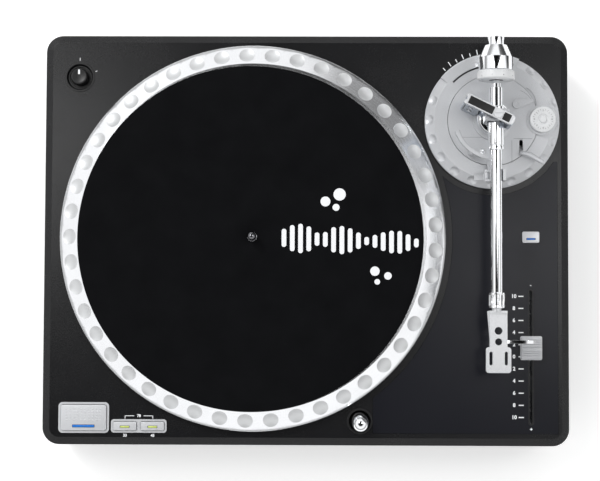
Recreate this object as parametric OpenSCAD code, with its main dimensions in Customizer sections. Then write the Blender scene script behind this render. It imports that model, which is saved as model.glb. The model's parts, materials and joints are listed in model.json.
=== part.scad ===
// Direct drive record player with a straight balanced tonearm.
// +X is the right-hand side, +Y the back and +Z up; the origin is on the table under the middle of the case.

/* [Case] */
// Width of the case
body_w = 450; // [440:1:560]
// Depth of the case
body_d = 352; // [346:1:430]
// Height of the deck above the table
deck_z = 88; // [84:1:110]
// Corner radius of the case in plan
corner_r = 14.5; // [12:0.5:20]
// Width of the sloping edge round the deck
bevel_w = 6.5; // [3:0.5:8]
// Height of the sloping edge round the deck
bevel_h = 5; // [3:0.5:6]
// Thickness of the case walls
wall = 3; // [2:0.5:4]
// Thickness of the deck
deck_t = 3; // [2.5:0.5:4]
// Distance from the deck down to the seam between the two shells
seam_drop = 26; // [22:1:30]
// Height of the feet
foot_h = 20; // [14:1:24]
// Radius of the feet
foot_r = 22; // [16:1:28]
// Distance of the feet's centres from the sides of the case
foot_inset = 46; // [36:1:60]

/* [Platter] */
// Outer radius of the platter
platter_r = 165; // [155:1:168]
// Radius of the flat top of the platter
platter_flat_r = 148.2; // [140:0.1:150]
// Height of the platter's top above the deck
platter_top = 15; // [13:0.5:18]
// Number of dimples round the platter's edge
dimple_count = 45; // [20:1:60]
// Radius of the felt mat
mat_r = 147; // [140:0.5:148]
// Thickness of the felt mat
mat_t = 2.5; // [1.5:0.5:3.5]
// Radius of the centre spindle
spindle_r = 3.58; // [3:0.01:4.4]
// Height of the spindle above the deck
spindle_top = 31; // [28:0.5:34]

/* [Tonearm] */
// Distance of the tonearm pivot from the right side of the case
arm_inset_x = 66; // [64:1:72]
// Distance of the tonearm pivot from the back of the case
arm_inset_y = 75; // [72:1:80]
// Distance from the tonearm pivot to the platter's centre, across
arm_to_platter_x = 204.5; // [204:0.5:208]
// Distance from the tonearm pivot to the platter's centre, front to back
arm_to_platter_y = 100; // [97:0.5:101]
// Height of the arm's centreline above the deck
arm_axis_h = 40; // [39:0.5:46]
// Radius of the arm tube
tube_r = 4.85; // [4:0.05:5.9]
// Length of the arm from the pivot to the front of the locking collar
arm_len = 160.4; // [158:0.2:170]
// Radius of the thick arm section at the pivot
sleeve_r = 6.6; // [6.2:0.1:6.8]
// Outer radius of the height ring
ring_r = 57.6; // [54:0.2:60]
// Radius of the arm base plate
plate_r = 38.4; // [38:0.2:40]
// Radius of the counterweight
weight_r = 14; // [12:0.5:14.5]
// Radius of the stylus force dial
force_r = 15.7; // [14.8:0.1:15.8]
// Centre distance of the two headshell slots
cart_pitch = 12.7; // [12.5:0.1:13]

/* [Controls] */
// Length of the pitch fader's slot
fader_slot_len = 115; // [112:1:120]
// Length of the start button
start_w = 38.8; // [32:0.2:47]
// Depth of the start button
start_d = 21.7; // [18:0.1:23]
// Length of each speed button
speed_w = 19.6; // [16:0.2:20.5]
// Depth of each speed button
speed_d = 7.2; // [6:0.2:8]
// How far a button stands above its bezel
button_rise = 2; // [1.5:0.1:3]
// Travel of a button
button_travel = 1.2; // [0.8:0.1:1.4]
// Radius of the power knob
knob_r = 6.95; // [5.8:0.05:8.4]
// Radius of the stylus lamp
lamp_r = 7.2; // [6:0.1:8.7]

/* [Fits] */
// Radial running clearance of a shaft in its bore
run_gap = 0.05; // [0.02:0.01:0.1]
// Gap between moving pieces that don't touch
move_gap = 0.35; // [0.3:0.05:0.6]

/* [Hidden] */
$fn = 64;
seam_z = deck_z - seam_drop;
seam_gap = 1.2;
under_deck = deck_z - deck_t;
floor_t = 3;
floor_top = foot_h + floor_t;
panel_rise = 0.4;
panel_sink = 0.6;
panel_left = 103;
panel_back = 34;
panel_margin = 10;
panel_round_platter = 6;
panel_round_arm = 5.4;
arm_x = body_w / 2 - arm_inset_x;
arm_y = body_d / 2 - arm_inset_y;
platter_x = arm_x - arm_to_platter_x;
platter_y = arm_y - arm_to_platter_y;
platter_z = deck_z + platter_top;
platter_gap = 3;
arm_z = deck_z + arm_axis_h;
ring_top = deck_z + 12;
plate_top = deck_z + 13;
plate_t = 3.5;
lug_bottom = ring_top + 0.4;
lug_top = ring_top + 2;
front_y = -body_d / 2;
left_x = -body_w / 2;

// Positions of the controls
power_pos = [left_x + 29.6, body_d / 2 - 36.6];
start_pos = [left_x + 36.05, front_y + 23.1];
speed_y = front_y + 16.1;
speed33_x = start_pos[0] + start_w / 2 + speed_w / 2 + 6.05;
speed45_x = speed33_x + speed_w + 4;
trim_r = knob_r + 4.65;
fader_x = body_w / 2 - 33;
fader_mid_y = front_y + 75.8;
fader_rest_y = front_y + 83.5;
quartz_pos = [body_w / 2 - 32.9, front_y + 178.1];
quartz_w = 14.6;
quartz_d = 9.7;
fader_slot_w = 5;
lamp_pos = [platter_x + 91.3, front_y + 22.6];
lamp_lean = [1, -3.4];
lamp_h = 16;
lamp_travel = 12;
lamp_well_r = lamp_r + norm(lamp_lean) / 2 + 1.2;

// Motor and bearing
motor_hole_r = 58;
motor_plate_r = 66;
motor_plate_t = 2;
housing_r = 11;
housing_flange_r = 18;
housing_bottom = deck_z - 42;
housing_top = deck_z + 3;
bush_r = 7.5;
bearing_shaft_r = spindle_r + 0.42;
ball_r = 2;
cap_t = 4;
hub_r = 14;
platter_plate_t = 5;
magnet_in = 39;
magnet_out = 53;
coil_r = 8;
coil_count = 12;
coil_ring_r = (magnet_in + magnet_out) / 2;
board_t = 1.6;
magnet_bottom = deck_z + 2.5;

// Tonearm bearing and bridge
pillar_r = 14.5;
boss_r = 17;
pillar_top = arm_z - 13;
yoke_half = 9.8;
yoke_wall = 2.4;
yoke_depth = 10;
yoke_low = 8.4;
yoke_high = 8.4;
yaw_pin_r = 2.5;
axle_r = 1.5;
screw_tip_r = 1.6;
bridge_angle = -26;
bridge_left = 29.8;
bridge_right = 14.7;
bridge_w = 8.6;
bridge_t = 5;
bridge_bottom = arm_z + 15;
bridge_leg_in = 24.4;
stub_r = 5.4;
stub_end = 24;
shaft_r = 4;
shaft_end = 58;
weight_sleeve_r = 6;
dial_front = 30.3;
dial_t = 7.4;
weight_len = 21.6;
weight_front = dial_front + dial_t + 0.3;
weight_back = weight_front + weight_len;
cap_len = 7.6;
tube_wall = 1.2;
sleeve_front = 28.5;
sleeve_back = 8;
collar_len = 13.1;
collar_r = 6.8;
head_off = 1.4;
head_neck = 2.1;
head_body_w = 14.7;
head_body_len = 30.7;
head_wide_w = 21;
head_wide_len = 20.4;
head_start = arm_len + head_neck;
slot_mid = head_start + head_body_len + 8.9;
slot_len = 11.3;
slot_r = 1.3;
head_top = arm_z + 1.2;
head_t = 3;

// Arm base details
guide_in = 24 + run_gap;
rest_dist = 49;
rest_half = 5;
clip_x = -7.2;
clip_z = arm_z - 9.5;
clip_w = 5.4;
skate_pos = [41.8, 0.3];
skate_r = 11;
lock_pos = [20.3, 13.9];
lock_angle = 11.7;
lock_len = 14.5;
cue_pos = [23.8, -22.5];
cue_pivot_z = plate_top - 8;
cue_rest_tilt = 25;
cue_half = 1.2;
lift_r = 34;
lift_half = 1.5;
lift_top = arm_z - tube_r - 3.4;
lift_post_angle = 236;
lift_post_r = 2.5;
lift_boss_wall = 1.7;
screw_r = 1.75;
screw_inset = [14, 60];

// Boards on the floor of the case
board_pos = [50, -130];
board_size = [140, 90];
board_lift = 6;
board_inset = 10;
supply_pos = [-203, 42];
supply_size = [86, 56];
supply_lift = 3;
supply_inset = 8;

// Rear sockets
pocket_depth = 14;
pocket_h = 26;
pocket_z = foot_h + 21;
audio_x = body_w / 2 - 95;
audio_w = 104;
mains_x = left_x + 75;
mains_w = 44;
jack_r = 4.15;
jack_body_r = jack_r + 0.85;
jack_len = 9;
jack_pitch = 14;

// Flat rectangle with rounded corners
module rrect(w, d, r) {
    square([w - 2 * r, d], center = true);
    square([w, d - 2 * r], center = true);
    for (sx = [-1, 1], sy = [-1, 1])
        translate([sx * (w / 2 - r), sy * (d / 2 - r)]) circle(r);
}

// Runs a wall profile, given as distance from the corner's centre and height, round a rounded rectangle
module around(w, d, r) {
    for (s = [0, 180]) rotate([0, 0, s]) {
        translate([w / 2 - r, 0, 0]) rotate([90, 0, 0])
            linear_extrude(d - 2 * r, center = true) children();
        translate([0, d / 2 - r, 0]) rotate([0, 0, 90]) rotate([90, 0, 0])
            linear_extrude(w - 2 * r, center = true) children();
        translate([w / 2 - r, d / 2 - r, 0]) rotate_extrude(angle = 90) children();
        translate([r - w / 2, d / 2 - r, 0]) rotate([0, 0, 90]) rotate_extrude(angle = 90) children();
    }
}

module ring(r_out, r_in, h) {
    difference() {
        cylinder(r = r_out, h = h);
        translate([0, 0, -1]) cylinder(r = r_in, h = h + 2);
    }
}

// A flat sector from the origin, between two bearings
module wedge(a0, a1, r) {
    mid = (a0 + a1) / 2;
    polygon([[0, 0], r * [cos(a0), sin(a0)], 1.3 * r * [cos(mid), sin(mid)], r * [cos(a1), sin(a1)]]);
}

module at_platter(z = 0) { translate([platter_x, platter_y, z]) children(); }
module at_arm(z = 0) { translate([arm_x, arm_y, z]) children(); }

// A cylinder along Y from y0 to y1, on the arm's centreline
module along_arm(r, y0, y1) {
    translate([arm_x, arm_y + y0, arm_z]) rotate([-90, 0, 0]) cylinder(r = r, h = y1 - y0);
}

module at_bosses() {
    for (sx = [-1, 1], sy = [-1, 1])
        translate([sx * (body_w / 2 - screw_inset[0]), sy * (body_d / 2 - screw_inset[1]), 0]) children();
}

// Inside the four corners of a board
module at_corners(pos, size, inset) {
    for (x = [inset, size[0] - inset], y = [inset, size[1] - inset])
        translate([pos[0] + x, pos[1] + y, 0]) children();
}

module panel_outline(grow) {
    left = platter_x + panel_left - grow;
    right = body_w / 2 - panel_margin + grow;
    front = front_y + panel_margin + 0.7 - grow;
    back = arm_y - panel_back;
    difference() {
        translate([left, front]) square([right - left, back - front]);
        translate([platter_x, platter_y]) circle(platter_r + panel_round_platter - grow, $fn = 180);
        translate([arm_x, arm_y]) circle(ring_r + panel_round_arm - grow, $fn = 120);
    }
}

// ---------------------------------------------------------------- case

module deck_openings() {
    at_platter(under_deck - 1) cylinder(r = motor_hole_r, h = deck_t + 2);
    at_arm(under_deck - 1) cylinder(r = plate_r, h = deck_t + 2);
    translate([power_pos[0], power_pos[1], under_deck - 1]) cylinder(r = trim_r, h = deck_t + 2);
    translate([start_pos[0], start_pos[1], under_deck - 1])
        linear_extrude(deck_t + 2) rrect(start_w + 3.2, start_d + 3.2, 3);
    translate([(speed33_x + speed45_x) / 2, speed_y, under_deck - 1])
        linear_extrude(deck_t + 2) rrect(speed45_x - speed33_x + speed_w + 3, speed_d + 3, 2);
    translate([quartz_pos[0], quartz_pos[1], under_deck - 1])
        linear_extrude(deck_t + 2) rrect(quartz_w + 2 * move_gap, quartz_d + 2 * move_gap, 1.8);
    translate([fader_x, fader_mid_y, under_deck - 1])
        linear_extrude(deck_t + 2) rrect(fader_slot_w, fader_slot_len + 1, 2.4);
    translate([lamp_pos[0], lamp_pos[1], under_deck - 1]) linear_extrude(deck_t + 2)
        translate(lamp_lean / 2) circle(lamp_well_r);
}

module top_cover() {
    rin = corner_r - wall;
    edge = corner_r - bevel_w;
    color([0.22, 0.22, 0.24]) difference() {
        union() {
            around(body_w, body_d, corner_r) polygon([
                [rin, seam_z], [corner_r, seam_z], [corner_r, deck_z - bevel_h], [edge, deck_z],
                [edge - 1, deck_z], [edge - 1, under_deck], [edge, under_deck],
                [rin, under_deck - bevel_h + 1]]);
            translate([0, 0, under_deck]) linear_extrude(deck_t)
                rrect(body_w - 2 * bevel_w - 1, body_d - 2 * bevel_w - 1, edge - 0.5);
            at_bosses() translate([0, 0, seam_z - 12]) cylinder(r = 4.5, h = seam_drop + 12 - 1);
        }
        deck_openings();
        translate([0, 0, deck_z - panel_sink]) linear_extrude(panel_sink + 1) panel_outline(0.2);
        at_bosses() translate([0, 0, seam_z - 13]) cylinder(r = screw_r, h = 14);
    }
}

module pocket_outer(x, w) {
    translate([x - w / 2 - 2, body_d / 2 - pocket_depth - 2, pocket_z - pocket_h / 2 - 2])
        cube([w + 4, pocket_depth + 1, pocket_h + 4]);
}

module pocket_inner(x, w) {
    translate([x - w / 2, body_d / 2 - pocket_depth, pocket_z - pocket_h / 2])
        cube([w, pocket_depth + 1, pocket_h]);
}

// Holes through the pocket's inner wall, drilled along Y
module pocket_hole(x, r) {
    translate([x, body_d / 2 - pocket_depth - 4, pocket_z]) rotate([-90, 0, 0]) cylinder(r = r, h = 6);
}

module base_tray() {
    rin = corner_r - wall;
    lip_in = rin - 2.3;
    lip_out = rin - 0.3;
    seam_low = seam_z - seam_gap;
    color([0.2, 0.2, 0.21]) difference() {
        union() {
            around(body_w, body_d, corner_r) polygon([
                [rin - 1, foot_h], [corner_r - 2, foot_h], [corner_r, foot_h + 2], [corner_r, seam_low],
                [lip_out, seam_low], [lip_out, seam_low + 5], [lip_in, seam_low + 5],
                [lip_in, seam_low - 3], [rin, seam_low - 5], [rin, floor_top], [rin - 1, floor_top]]);
            translate([0, 0, foot_h]) linear_extrude(floor_t)
                rrect(body_w - 2 * wall - 1, body_d - 2 * wall - 1, rin - 0.5);
            at_bosses() translate([0, 0, foot_h]) cylinder(r = 5, h = seam_z - 12 - foot_h - 0.2);
            pocket_outer(audio_x, audio_w);
            pocket_outer(mains_x, mains_w);
            at_corners(board_pos, board_size, board_inset)
                translate([0, 0, foot_h]) cylinder(r = 4, h = floor_t + board_lift);
            at_corners(supply_pos, supply_size, supply_inset)
                translate([0, 0, foot_h]) cylinder(r = 4, h = floor_t + supply_lift);
        }
        pocket_inner(audio_x, audio_w);
        pocket_inner(mains_x, mains_w);
        for (s = [-1, 1]) pocket_hole(audio_x + s * jack_pitch / 2, jack_body_r);
        pocket_hole(audio_x + 34, 2);
        translate([audio_x - 34, body_d / 2 - pocket_depth - 1, pocket_z]) cube([13, 6, 6], center = true);
        translate([mains_x, body_d / 2 - pocket_depth - 1, pocket_z]) cube([20.2, 6, 12.2], center = true);
        at_bosses() translate([0, 0, foot_h - 1]) cylinder(r = screw_r + 0.15, h = 60);
        at_bosses() translate([0, 0, foot_h - 1]) cylinder(r = 4, h = 4);
        for (sx = [-1, 1], sy = [-1, 1])
            translate([sx * 60, sy * 60, foot_h - 1]) for (i = [-3 : 3])
                translate([i * 7, 0, 0]) linear_extrude(floor_t + 2) rrect(2.6, 30, 1.2);
    }
}

module at_feet() {
    for (sx = [-1, 1], sy = [-1, 1])
        translate([sx * (body_w / 2 - foot_inset), sy * (body_d / 2 - foot_inset), 0]) children();
}

module foot_housings() {
    color([0.12, 0.12, 0.13]) at_feet() rotate_extrude() polygon([
        [0, 8], [foot_r - 5, 8], [foot_r - 5, 5], [foot_r - 2, 5], [foot_r, 8], [foot_r - 2, foot_h],
        [0, foot_h]]);
}

module foot_pads() {
    color([0.05, 0.05, 0.05]) at_feet() rotate_extrude() polygon([
        [0, 1], [6, 1], [7, 0], [foot_r - 7, 0], [foot_r - 5, 1.5], [foot_r - 5, 8], [0, 8]]);
}

module case_screws() {
    color([0.7, 0.7, 0.72]) at_bosses() difference() {
        union() {
            translate([0, 0, foot_h + 0.6]) cylinder(r = 3.6, h = 2.4);
            translate([0, 0, foot_h + 2]) cylinder(r = screw_r, h = seam_z - foot_h - 4);
        }
        translate([-2.4, -0.4, foot_h]) cube([4.8, 0.8, 1.8]);
        translate([-0.4, -2.4, foot_h]) cube([0.8, 4.8, 1.8]);
    }
}

module control_panel() {
    color([0.2, 0.2, 0.22]) difference() {
        translate([0, 0, deck_z - panel_sink]) linear_extrude(panel_sink + panel_rise) panel_outline(0);
        translate([fader_x, fader_mid_y, under_deck])
            linear_extrude(deck_t + 2) rrect(fader_slot_w, fader_slot_len + 1, 2.4);
        translate([quartz_pos[0], quartz_pos[1], under_deck]) linear_extrude(deck_t + 2)
            rrect(quartz_w + 2 * move_gap, quartz_d + 2 * move_gap, 1.8);
    }
}

// ---------------------------------------------------------------- motor

module motor_plate() {
    color([0.65, 0.66, 0.68]) at_platter(under_deck - motor_plate_t)
        ring(motor_plate_r, housing_r, motor_plate_t);
}

module bearing_housing() {
    color([0.72, 0.6, 0.35]) at_platter() difference() {
        union() {
            translate([0, 0, housing_bottom]) cylinder(r = housing_r, h = housing_top - housing_bottom);
            translate([0, 0, under_deck]) cylinder(r = housing_flange_r, h = 2);
        }
        translate([0, 0, housing_bottom + cap_t]) cylinder(r = bush_r, h = housing_top);
    }
}

module bearing_bushes() {
    color([0.75, 0.5, 0.25]) at_platter() for (z = [housing_bottom + cap_t + 4, housing_top - 11])
        translate([0, 0, z]) ring(bush_r, bearing_shaft_r + run_gap, 10);
}

module thrust_ball() {
    color([0.8, 0.8, 0.82]) at_platter(housing_bottom + cap_t + ball_r) sphere(ball_r);
}

module stator_board() {
    color([0.1, 0.35, 0.2]) at_platter(under_deck) ring(motor_hole_r - 2, housing_flange_r + 0.5, board_t);
}

module stator_coils() {
    color([0.72, 0.4, 0.2]) at_platter(under_deck + board_t) for (i = [0 : coil_count - 1])
        rotate([0, 0, i * 360 / coil_count]) translate([coil_ring_r, 0, 0]) ring(coil_r, 3, 3.4);
}

module rotor_magnet() {
    color([0.2, 0.2, 0.2]) at_platter(magnet_bottom)
        ring(magnet_out, magnet_in, platter_z - platter_plate_t - magnet_bottom);
}

// ---------------------------------------------------------------- electronics

module main_board() {
    on_top = board_t - 0.1;
    color([0.1, 0.35, 0.2]) translate([board_pos[0], board_pos[1], floor_top + board_lift]) {
        cube([board_size[0], board_size[1], board_t]);
        translate([12, 18, on_top]) cube([18, 18, 2.6]);
        translate([45, 25, on_top]) cube([12, 26, 3]);
        translate([75, 10, on_top]) cube([34, 14, 20]);
        for (i = [0 : 3]) translate([50 + i * 14, 70, on_top]) cylinder(r = 5, h = 18);
        translate([115, 35, on_top]) cube([8, 40, 9]);
    }
}

module power_supply() {
    color([0.3, 0.3, 0.32]) translate([supply_pos[0], supply_pos[1], floor_top + supply_lift]) {
        cube([supply_size[0], supply_size[1], 2]);
        translate([15, 8, 1.9]) cube([44, 38, 27]);
        translate([9, 16, 6]) cube([56, 22, 18]);
    }
}

module switch_board() {
    z = deck_z - 12;
    switch_top = deck_z - 8 - button_travel - move_gap;
    x0 = start_pos[0] - start_w / 2 - 6.4;
    post_r = 2.4;
    color([0.1, 0.35, 0.2]) {
        translate([x0, speed_y - 8, z]) cube([speed45_x - x0 + 12, 24, board_t]);
        for (p = [start_pos, [speed33_x, speed_y], [speed45_x, speed_y]])
            translate([p[0] - 3, p[1] - 3, z]) cube([6, 6, switch_top - z]);
        translate([x0 + 2.6, speed_y + 4, z]) cylinder(r = post_r, h = under_deck - z);
        translate([speed45_x + 9, speed_y + 12, z]) cylinder(r = post_r, h = under_deck - z);
    }
}

module audio_jacks() {
    y = body_d / 2 - pocket_depth - 2;
    color([0.8, 0.7, 0.4]) for (s = [-1, 1]) translate([audio_x + s * jack_pitch / 2, y, pocket_z])
        rotate([-90, 0, 0]) difference() {
            union() {
                translate([0, 0, -6]) cylinder(r = 6, h = 6);
                cylinder(r = jack_body_r, h = 2);
                cylinder(r = jack_r, h = 2 + jack_len);
            }
            translate([0, 0, 2]) cylinder(r = 1.6, h = jack_len + 1);
        }
}

module ground_post() {
    color([0.75, 0.75, 0.78]) translate([audio_x + 34, body_d / 2 - pocket_depth - 2, pocket_z])
        rotate([-90, 0, 0]) {
            translate([0, 0, -5]) cylinder(r = 4, h = 5);
            cylinder(r = 2, h = 12);
            translate([0, 0, 4]) cylinder(r = 4.8, h = 5, $fn = 12);
        }
}

module mains_inlet() {
    color([0.1, 0.1, 0.1]) translate([mains_x, body_d / 2 - pocket_depth - 2, pocket_z]) difference() {
        union() {
            translate([-10, -15, -6]) cube([20, 19, 12]);
            translate([-12, 2, -8]) cube([24, 2, 16]);
        }
        rotate([-90, 0, 0]) translate([0, 0, -10]) linear_extrude(16) difference() {
            union() {
                for (s = [-1, 1]) translate([s * 4.3, 0]) circle(4.1);
                square([8.6, 6.4], center = true);
            }
            for (s = [-1, 1]) translate([s * 4.3, 0]) circle(1.2);
        }
    }
}

module line_switch() {
    color([0.85, 0.85, 0.85]) translate([audio_x - 34, body_d / 2 - pocket_depth, pocket_z]) {
        translate([-3, -2.4, -2.6]) cube([4, 6.4, 5.2]);
        translate([-5, -4.6, -3.5]) cube([8, 2.3, 7]);
    }
}

// ---------------------------------------------------------------- controls

module power_switch() {
    color([0.15, 0.15, 0.16]) translate([power_pos[0], power_pos[1], deck_z - 24]) difference() {
        translate([-13, -13, 0]) cube([26, 26, 16]);
        translate([0, 0, 6]) cylinder(r = 3 + run_gap, h = 20);
    }
}

module power_trim() {
    color([0.12, 0.12, 0.13]) translate([power_pos[0], power_pos[1], 0]) rotate_extrude() polygon([
        [knob_r + move_gap + 0.4, under_deck - 5], [trim_r, under_deck - 5], [trim_r, deck_z],
        [trim_r + 1.2, deck_z], [trim_r + 1.2, deck_z + 0.7], [trim_r - 0.4, deck_z + 0.7],
        [trim_r - 1.4, deck_z - 2.5], [trim_r - 2.8, deck_z - 2.5], [trim_r - 2.8, deck_z - 3.4],
        [knob_r + move_gap + 0.4, deck_z - 3.4]]);
}

module power_knob() {
    color([0.1, 0.1, 0.11]) translate([power_pos[0], power_pos[1], 0]) {
        rotate_extrude() polygon([
            [0, deck_z - 4], [knob_r, deck_z - 4], [knob_r, deck_z + 5.6], [knob_r - 0.8, deck_z + 6.6],
            [0, deck_z + 6.6]]);
        translate([0, 0, deck_z - 17]) cylinder(r = 3, h = 14);
    }
}

module bezel(w, d, r) {
    translate([0, 0, under_deck]) linear_extrude(deck_t + 0.1) rrect(w - 1.2, d - 1.2, r - 0.6);
    translate([0, 0, deck_z]) linear_extrude(0.9) rrect(w, d, r);
}

module push_button(w, d, r) {
    translate([0, 0, deck_z - 4.6]) linear_extrude(4.6 + 0.9 + button_rise - 0.6) rrect(w, d, r);
    translate([0, 0, deck_z + 0.2 + button_rise]) linear_extrude(0.7) rrect(w - 1, d - 1, r - 0.4);
    translate([0, 0, deck_z - 8]) cylinder(r = 2, h = 4);
}

module start_bezel() {
    color([0.75, 0.75, 0.77]) translate([start_pos[0], start_pos[1], 0]) difference() {
        bezel(start_w + 4.4, start_d + 4.4, 3.6);
        translate([0, 0, under_deck - 1]) linear_extrude(10)
            rrect(start_w + 2 * move_gap, start_d + 2 * move_gap, 2.4);
    }
}

module start_button() {
    color([0.72, 0.72, 0.74]) translate([start_pos[0], start_pos[1], 0]) push_button(start_w, start_d, 2);
}

module speed_bezel() {
    color([0.75, 0.75, 0.77]) difference() {
        translate([(speed33_x + speed45_x) / 2, speed_y, 0])
            bezel(speed45_x - speed33_x + speed_w + 4.2, speed_d + 4.2, 2.6);
        for (x = [speed33_x, speed45_x]) translate([x, speed_y, under_deck - 1]) linear_extrude(10)
            rrect(speed_w + 2 * move_gap, speed_d + 2 * move_gap, 1.2);
    }
}

module button_33() {
    color([0.72, 0.72, 0.74]) translate([speed33_x, speed_y, 0]) push_button(speed_w, speed_d, 0.9);
}

module button_45() {
    color([0.72, 0.72, 0.74]) translate([speed45_x, speed_y, 0]) push_button(speed_w, speed_d, 0.9);
}

module quartz_button() {
    color([0.85, 0.85, 0.86]) translate([quartz_pos[0], quartz_pos[1], 0])
        push_button(quartz_w, quartz_d, 1.4);
}

module fader_body() {
    color([0.5, 0.5, 0.52]) translate([fader_x, fader_mid_y, deck_z - 16]) difference() {
        translate([-8, -fader_slot_len / 2 - 6, 0]) cube([16, fader_slot_len + 12, 13]);
        translate([-2, -fader_slot_len / 2, 3]) cube([4, fader_slot_len, 12]);
    }
}

module fader_trim() {
    color([0.05, 0.05, 0.05]) translate([fader_x, fader_mid_y, under_deck]) linear_extrude(deck_t + 0.3)
        difference() {
            rrect(fader_slot_w, fader_slot_len + 1, 2.4);
            rrect(2.2, fader_slot_len - 2, 1);
        }
}

module fader_knob() {
    z = deck_z + 0.75;
    pitch = 1.9;
    color([0.7, 0.7, 0.72]) translate([fader_x, fader_rest_y, 0]) difference() {
        union() {
            translate([0, 0, z]) linear_extrude(2.4) rrect(18.6, 20.4, 1.6);
            translate([0, 0, z + 2]) linear_extrude(3.6) rrect(17, 18.6, 1.4);
            for (i = [-4 : 4]) if (i != 0)
                translate([-8, i * pitch - 0.5, z + 5]) cube([16, 1, 2]);
            translate([-0.7, -1.5, deck_z - 10]) cube([1.4, 3, 12]);
        }
        translate([-8.6, -0.5, z + 4.8]) cube([17.2, 1, 2]);
    }
}

module lamp_collar() {
    low = deck_z - lamp_travel - 5;
    color([0.06, 0.06, 0.06]) translate(concat(lamp_pos + lamp_lean / 2, low)) difference() {
        union() {
            translate([0, 0, deck_z - low]) cylinder(r = lamp_well_r + 0.8, h = 0.6);
            cylinder(r = lamp_well_r, h = deck_z - low + 0.1);
        }
        translate([0, 0, 2]) cylinder(r = lamp_r + norm(lamp_lean) / 2 + move_gap, h = lamp_travel + 5);
    }
}

module target_lamp() {
    top = deck_z + lamp_h;
    color([0.85, 0.85, 0.87]) translate([lamp_pos[0], lamp_pos[1], 0]) {
        hull() {
            translate([0, 0, deck_z - 2]) cylinder(r = lamp_r, h = 0.1, $fn = 48);
            translate([lamp_lean[0], lamp_lean[1], top - 3]) cylinder(r = lamp_r, h = 0.1, $fn = 48);
            translate([lamp_lean[0], lamp_lean[1], top - 0.6]) cylinder(r = lamp_r - 1.6, h = 0.6, $fn = 48);
        }
    }
}

// ---------------------------------------------------------------- platter

module platter() {
    under = platter_z - platter_plate_t;
    low = deck_z + platter_gap;
    dimple_r = 19;
    dimple_mid = (platter_flat_r + platter_r) / 2 - 0.2;
    slope = atan2(platter_z - low - 4.2, platter_r - 1.4 - platter_flat_r);
    mid_z = (platter_z + low + 4.2) / 2;
    color([0.78, 0.78, 0.8]) at_platter() difference() {
        rotate_extrude($fn = 360) polygon([
            [bearing_shaft_r, deck_z + 4], [hub_r, deck_z + 4], [hub_r, under], [platter_flat_r - 8, under],
            [platter_flat_r + 4, low], [platter_r - 1, low], [platter_r, low + 1], [platter_r, low + 3],
            [platter_r - 1.4, low + 4.2], [platter_flat_r, platter_z], [bearing_shaft_r, platter_z]]);
        for (i = [0 : dimple_count - 1]) rotate([0, 0, (i + 0.5) * 360 / dimple_count])
            translate([dimple_mid, 0, mid_z]) rotate([0, slope, 0]) translate([0, 0, dimple_r - 1.2])
                sphere(dimple_r, $fn = 96);
    }
}

module slipmat() {
    color([0.07, 0.07, 0.08]) translate([0, 0, platter_z]) difference() {
        translate([platter_x - 1.6, platter_y - 1.2, 0]) cylinder(r = mat_r, h = mat_t, $fn = 180);
        translate([platter_x, platter_y, -1]) cylinder(r = bearing_shaft_r + 0.3, h = mat_t + 2);
    }
}

module spindle() {
    bottom = housing_bottom + cap_t + 2 * ball_r + move_gap;
    top = deck_z + spindle_top;
    color([0.8, 0.8, 0.82]) at_platter() rotate_extrude() polygon([
        [0, bottom], [bearing_shaft_r - 0.5, bottom], [bearing_shaft_r, bottom + 0.5],
        [bearing_shaft_r, platter_z + mat_t], [spindle_r, platter_z + mat_t], [spindle_r, top - 3.4],
        [spindle_r - 0.5, top - 1.8], [spindle_r - 1.4, top - 0.6], [spindle_r - 2.6, top], [0, top]]);
}

// ---------------------------------------------------------------- arm base

module height_guide() {
    color([0.4, 0.4, 0.42]) at_arm() {
        translate([0, 0, deck_z - 33]) ring(guide_in + 3, guide_in, 30);
        translate([0, 0, under_deck - 3]) ring(plate_r + 7.6, guide_in, 3);
    }
}

module height_ring() {
    low = deck_z + move_gap;
    bore = plate_r + move_gap;
    cone_z = deck_z + 5;
    scallop_r = 7.5;
    sector = [67, 140];
    groove_r = ring_r - 10.6;
    color([0.8, 0.8, 0.82]) at_arm() difference() {
        rotate_extrude($fn = 180) polygon([
            [bore, low], [ring_r, low], [ring_r, ring_top - 0.6], [ring_r - 0.6, ring_top],
            [bore, ring_top]]);
        difference() {
            rotate_extrude($fn = 180) polygon([
                [ring_r - 7.6, ring_top], [ring_r, cone_z], [ring_r + 3, cone_z], [ring_r + 3, ring_top + 2],
                [ring_r - 7.6, ring_top + 2]]);
            translate([0, 0, low]) linear_extrude(30) wedge(sector[0], sector[1], 2 * ring_r);
        }
        for (k = [0 : 19]) {
            a = -1 + 18 * k;
            if (a < sector[0] - 6 || a > sector[1] + 6) rotate([0, 0, a])
                translate([ring_r - 4, 0, (cone_z + ring_top) / 2]) rotate([0, 43, 0])
                    translate([0, 0, scallop_r - 1.3]) sphere(scallop_r, $fn = 48);
        }
        translate([0, 0, ring_top - 1]) intersection() {
            ring(groove_r + 0.8, groove_r - 0.8, 2);
            linear_extrude(2) wedge(104.6, 136, 2 * ring_r);
        }
    }
}

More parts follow.
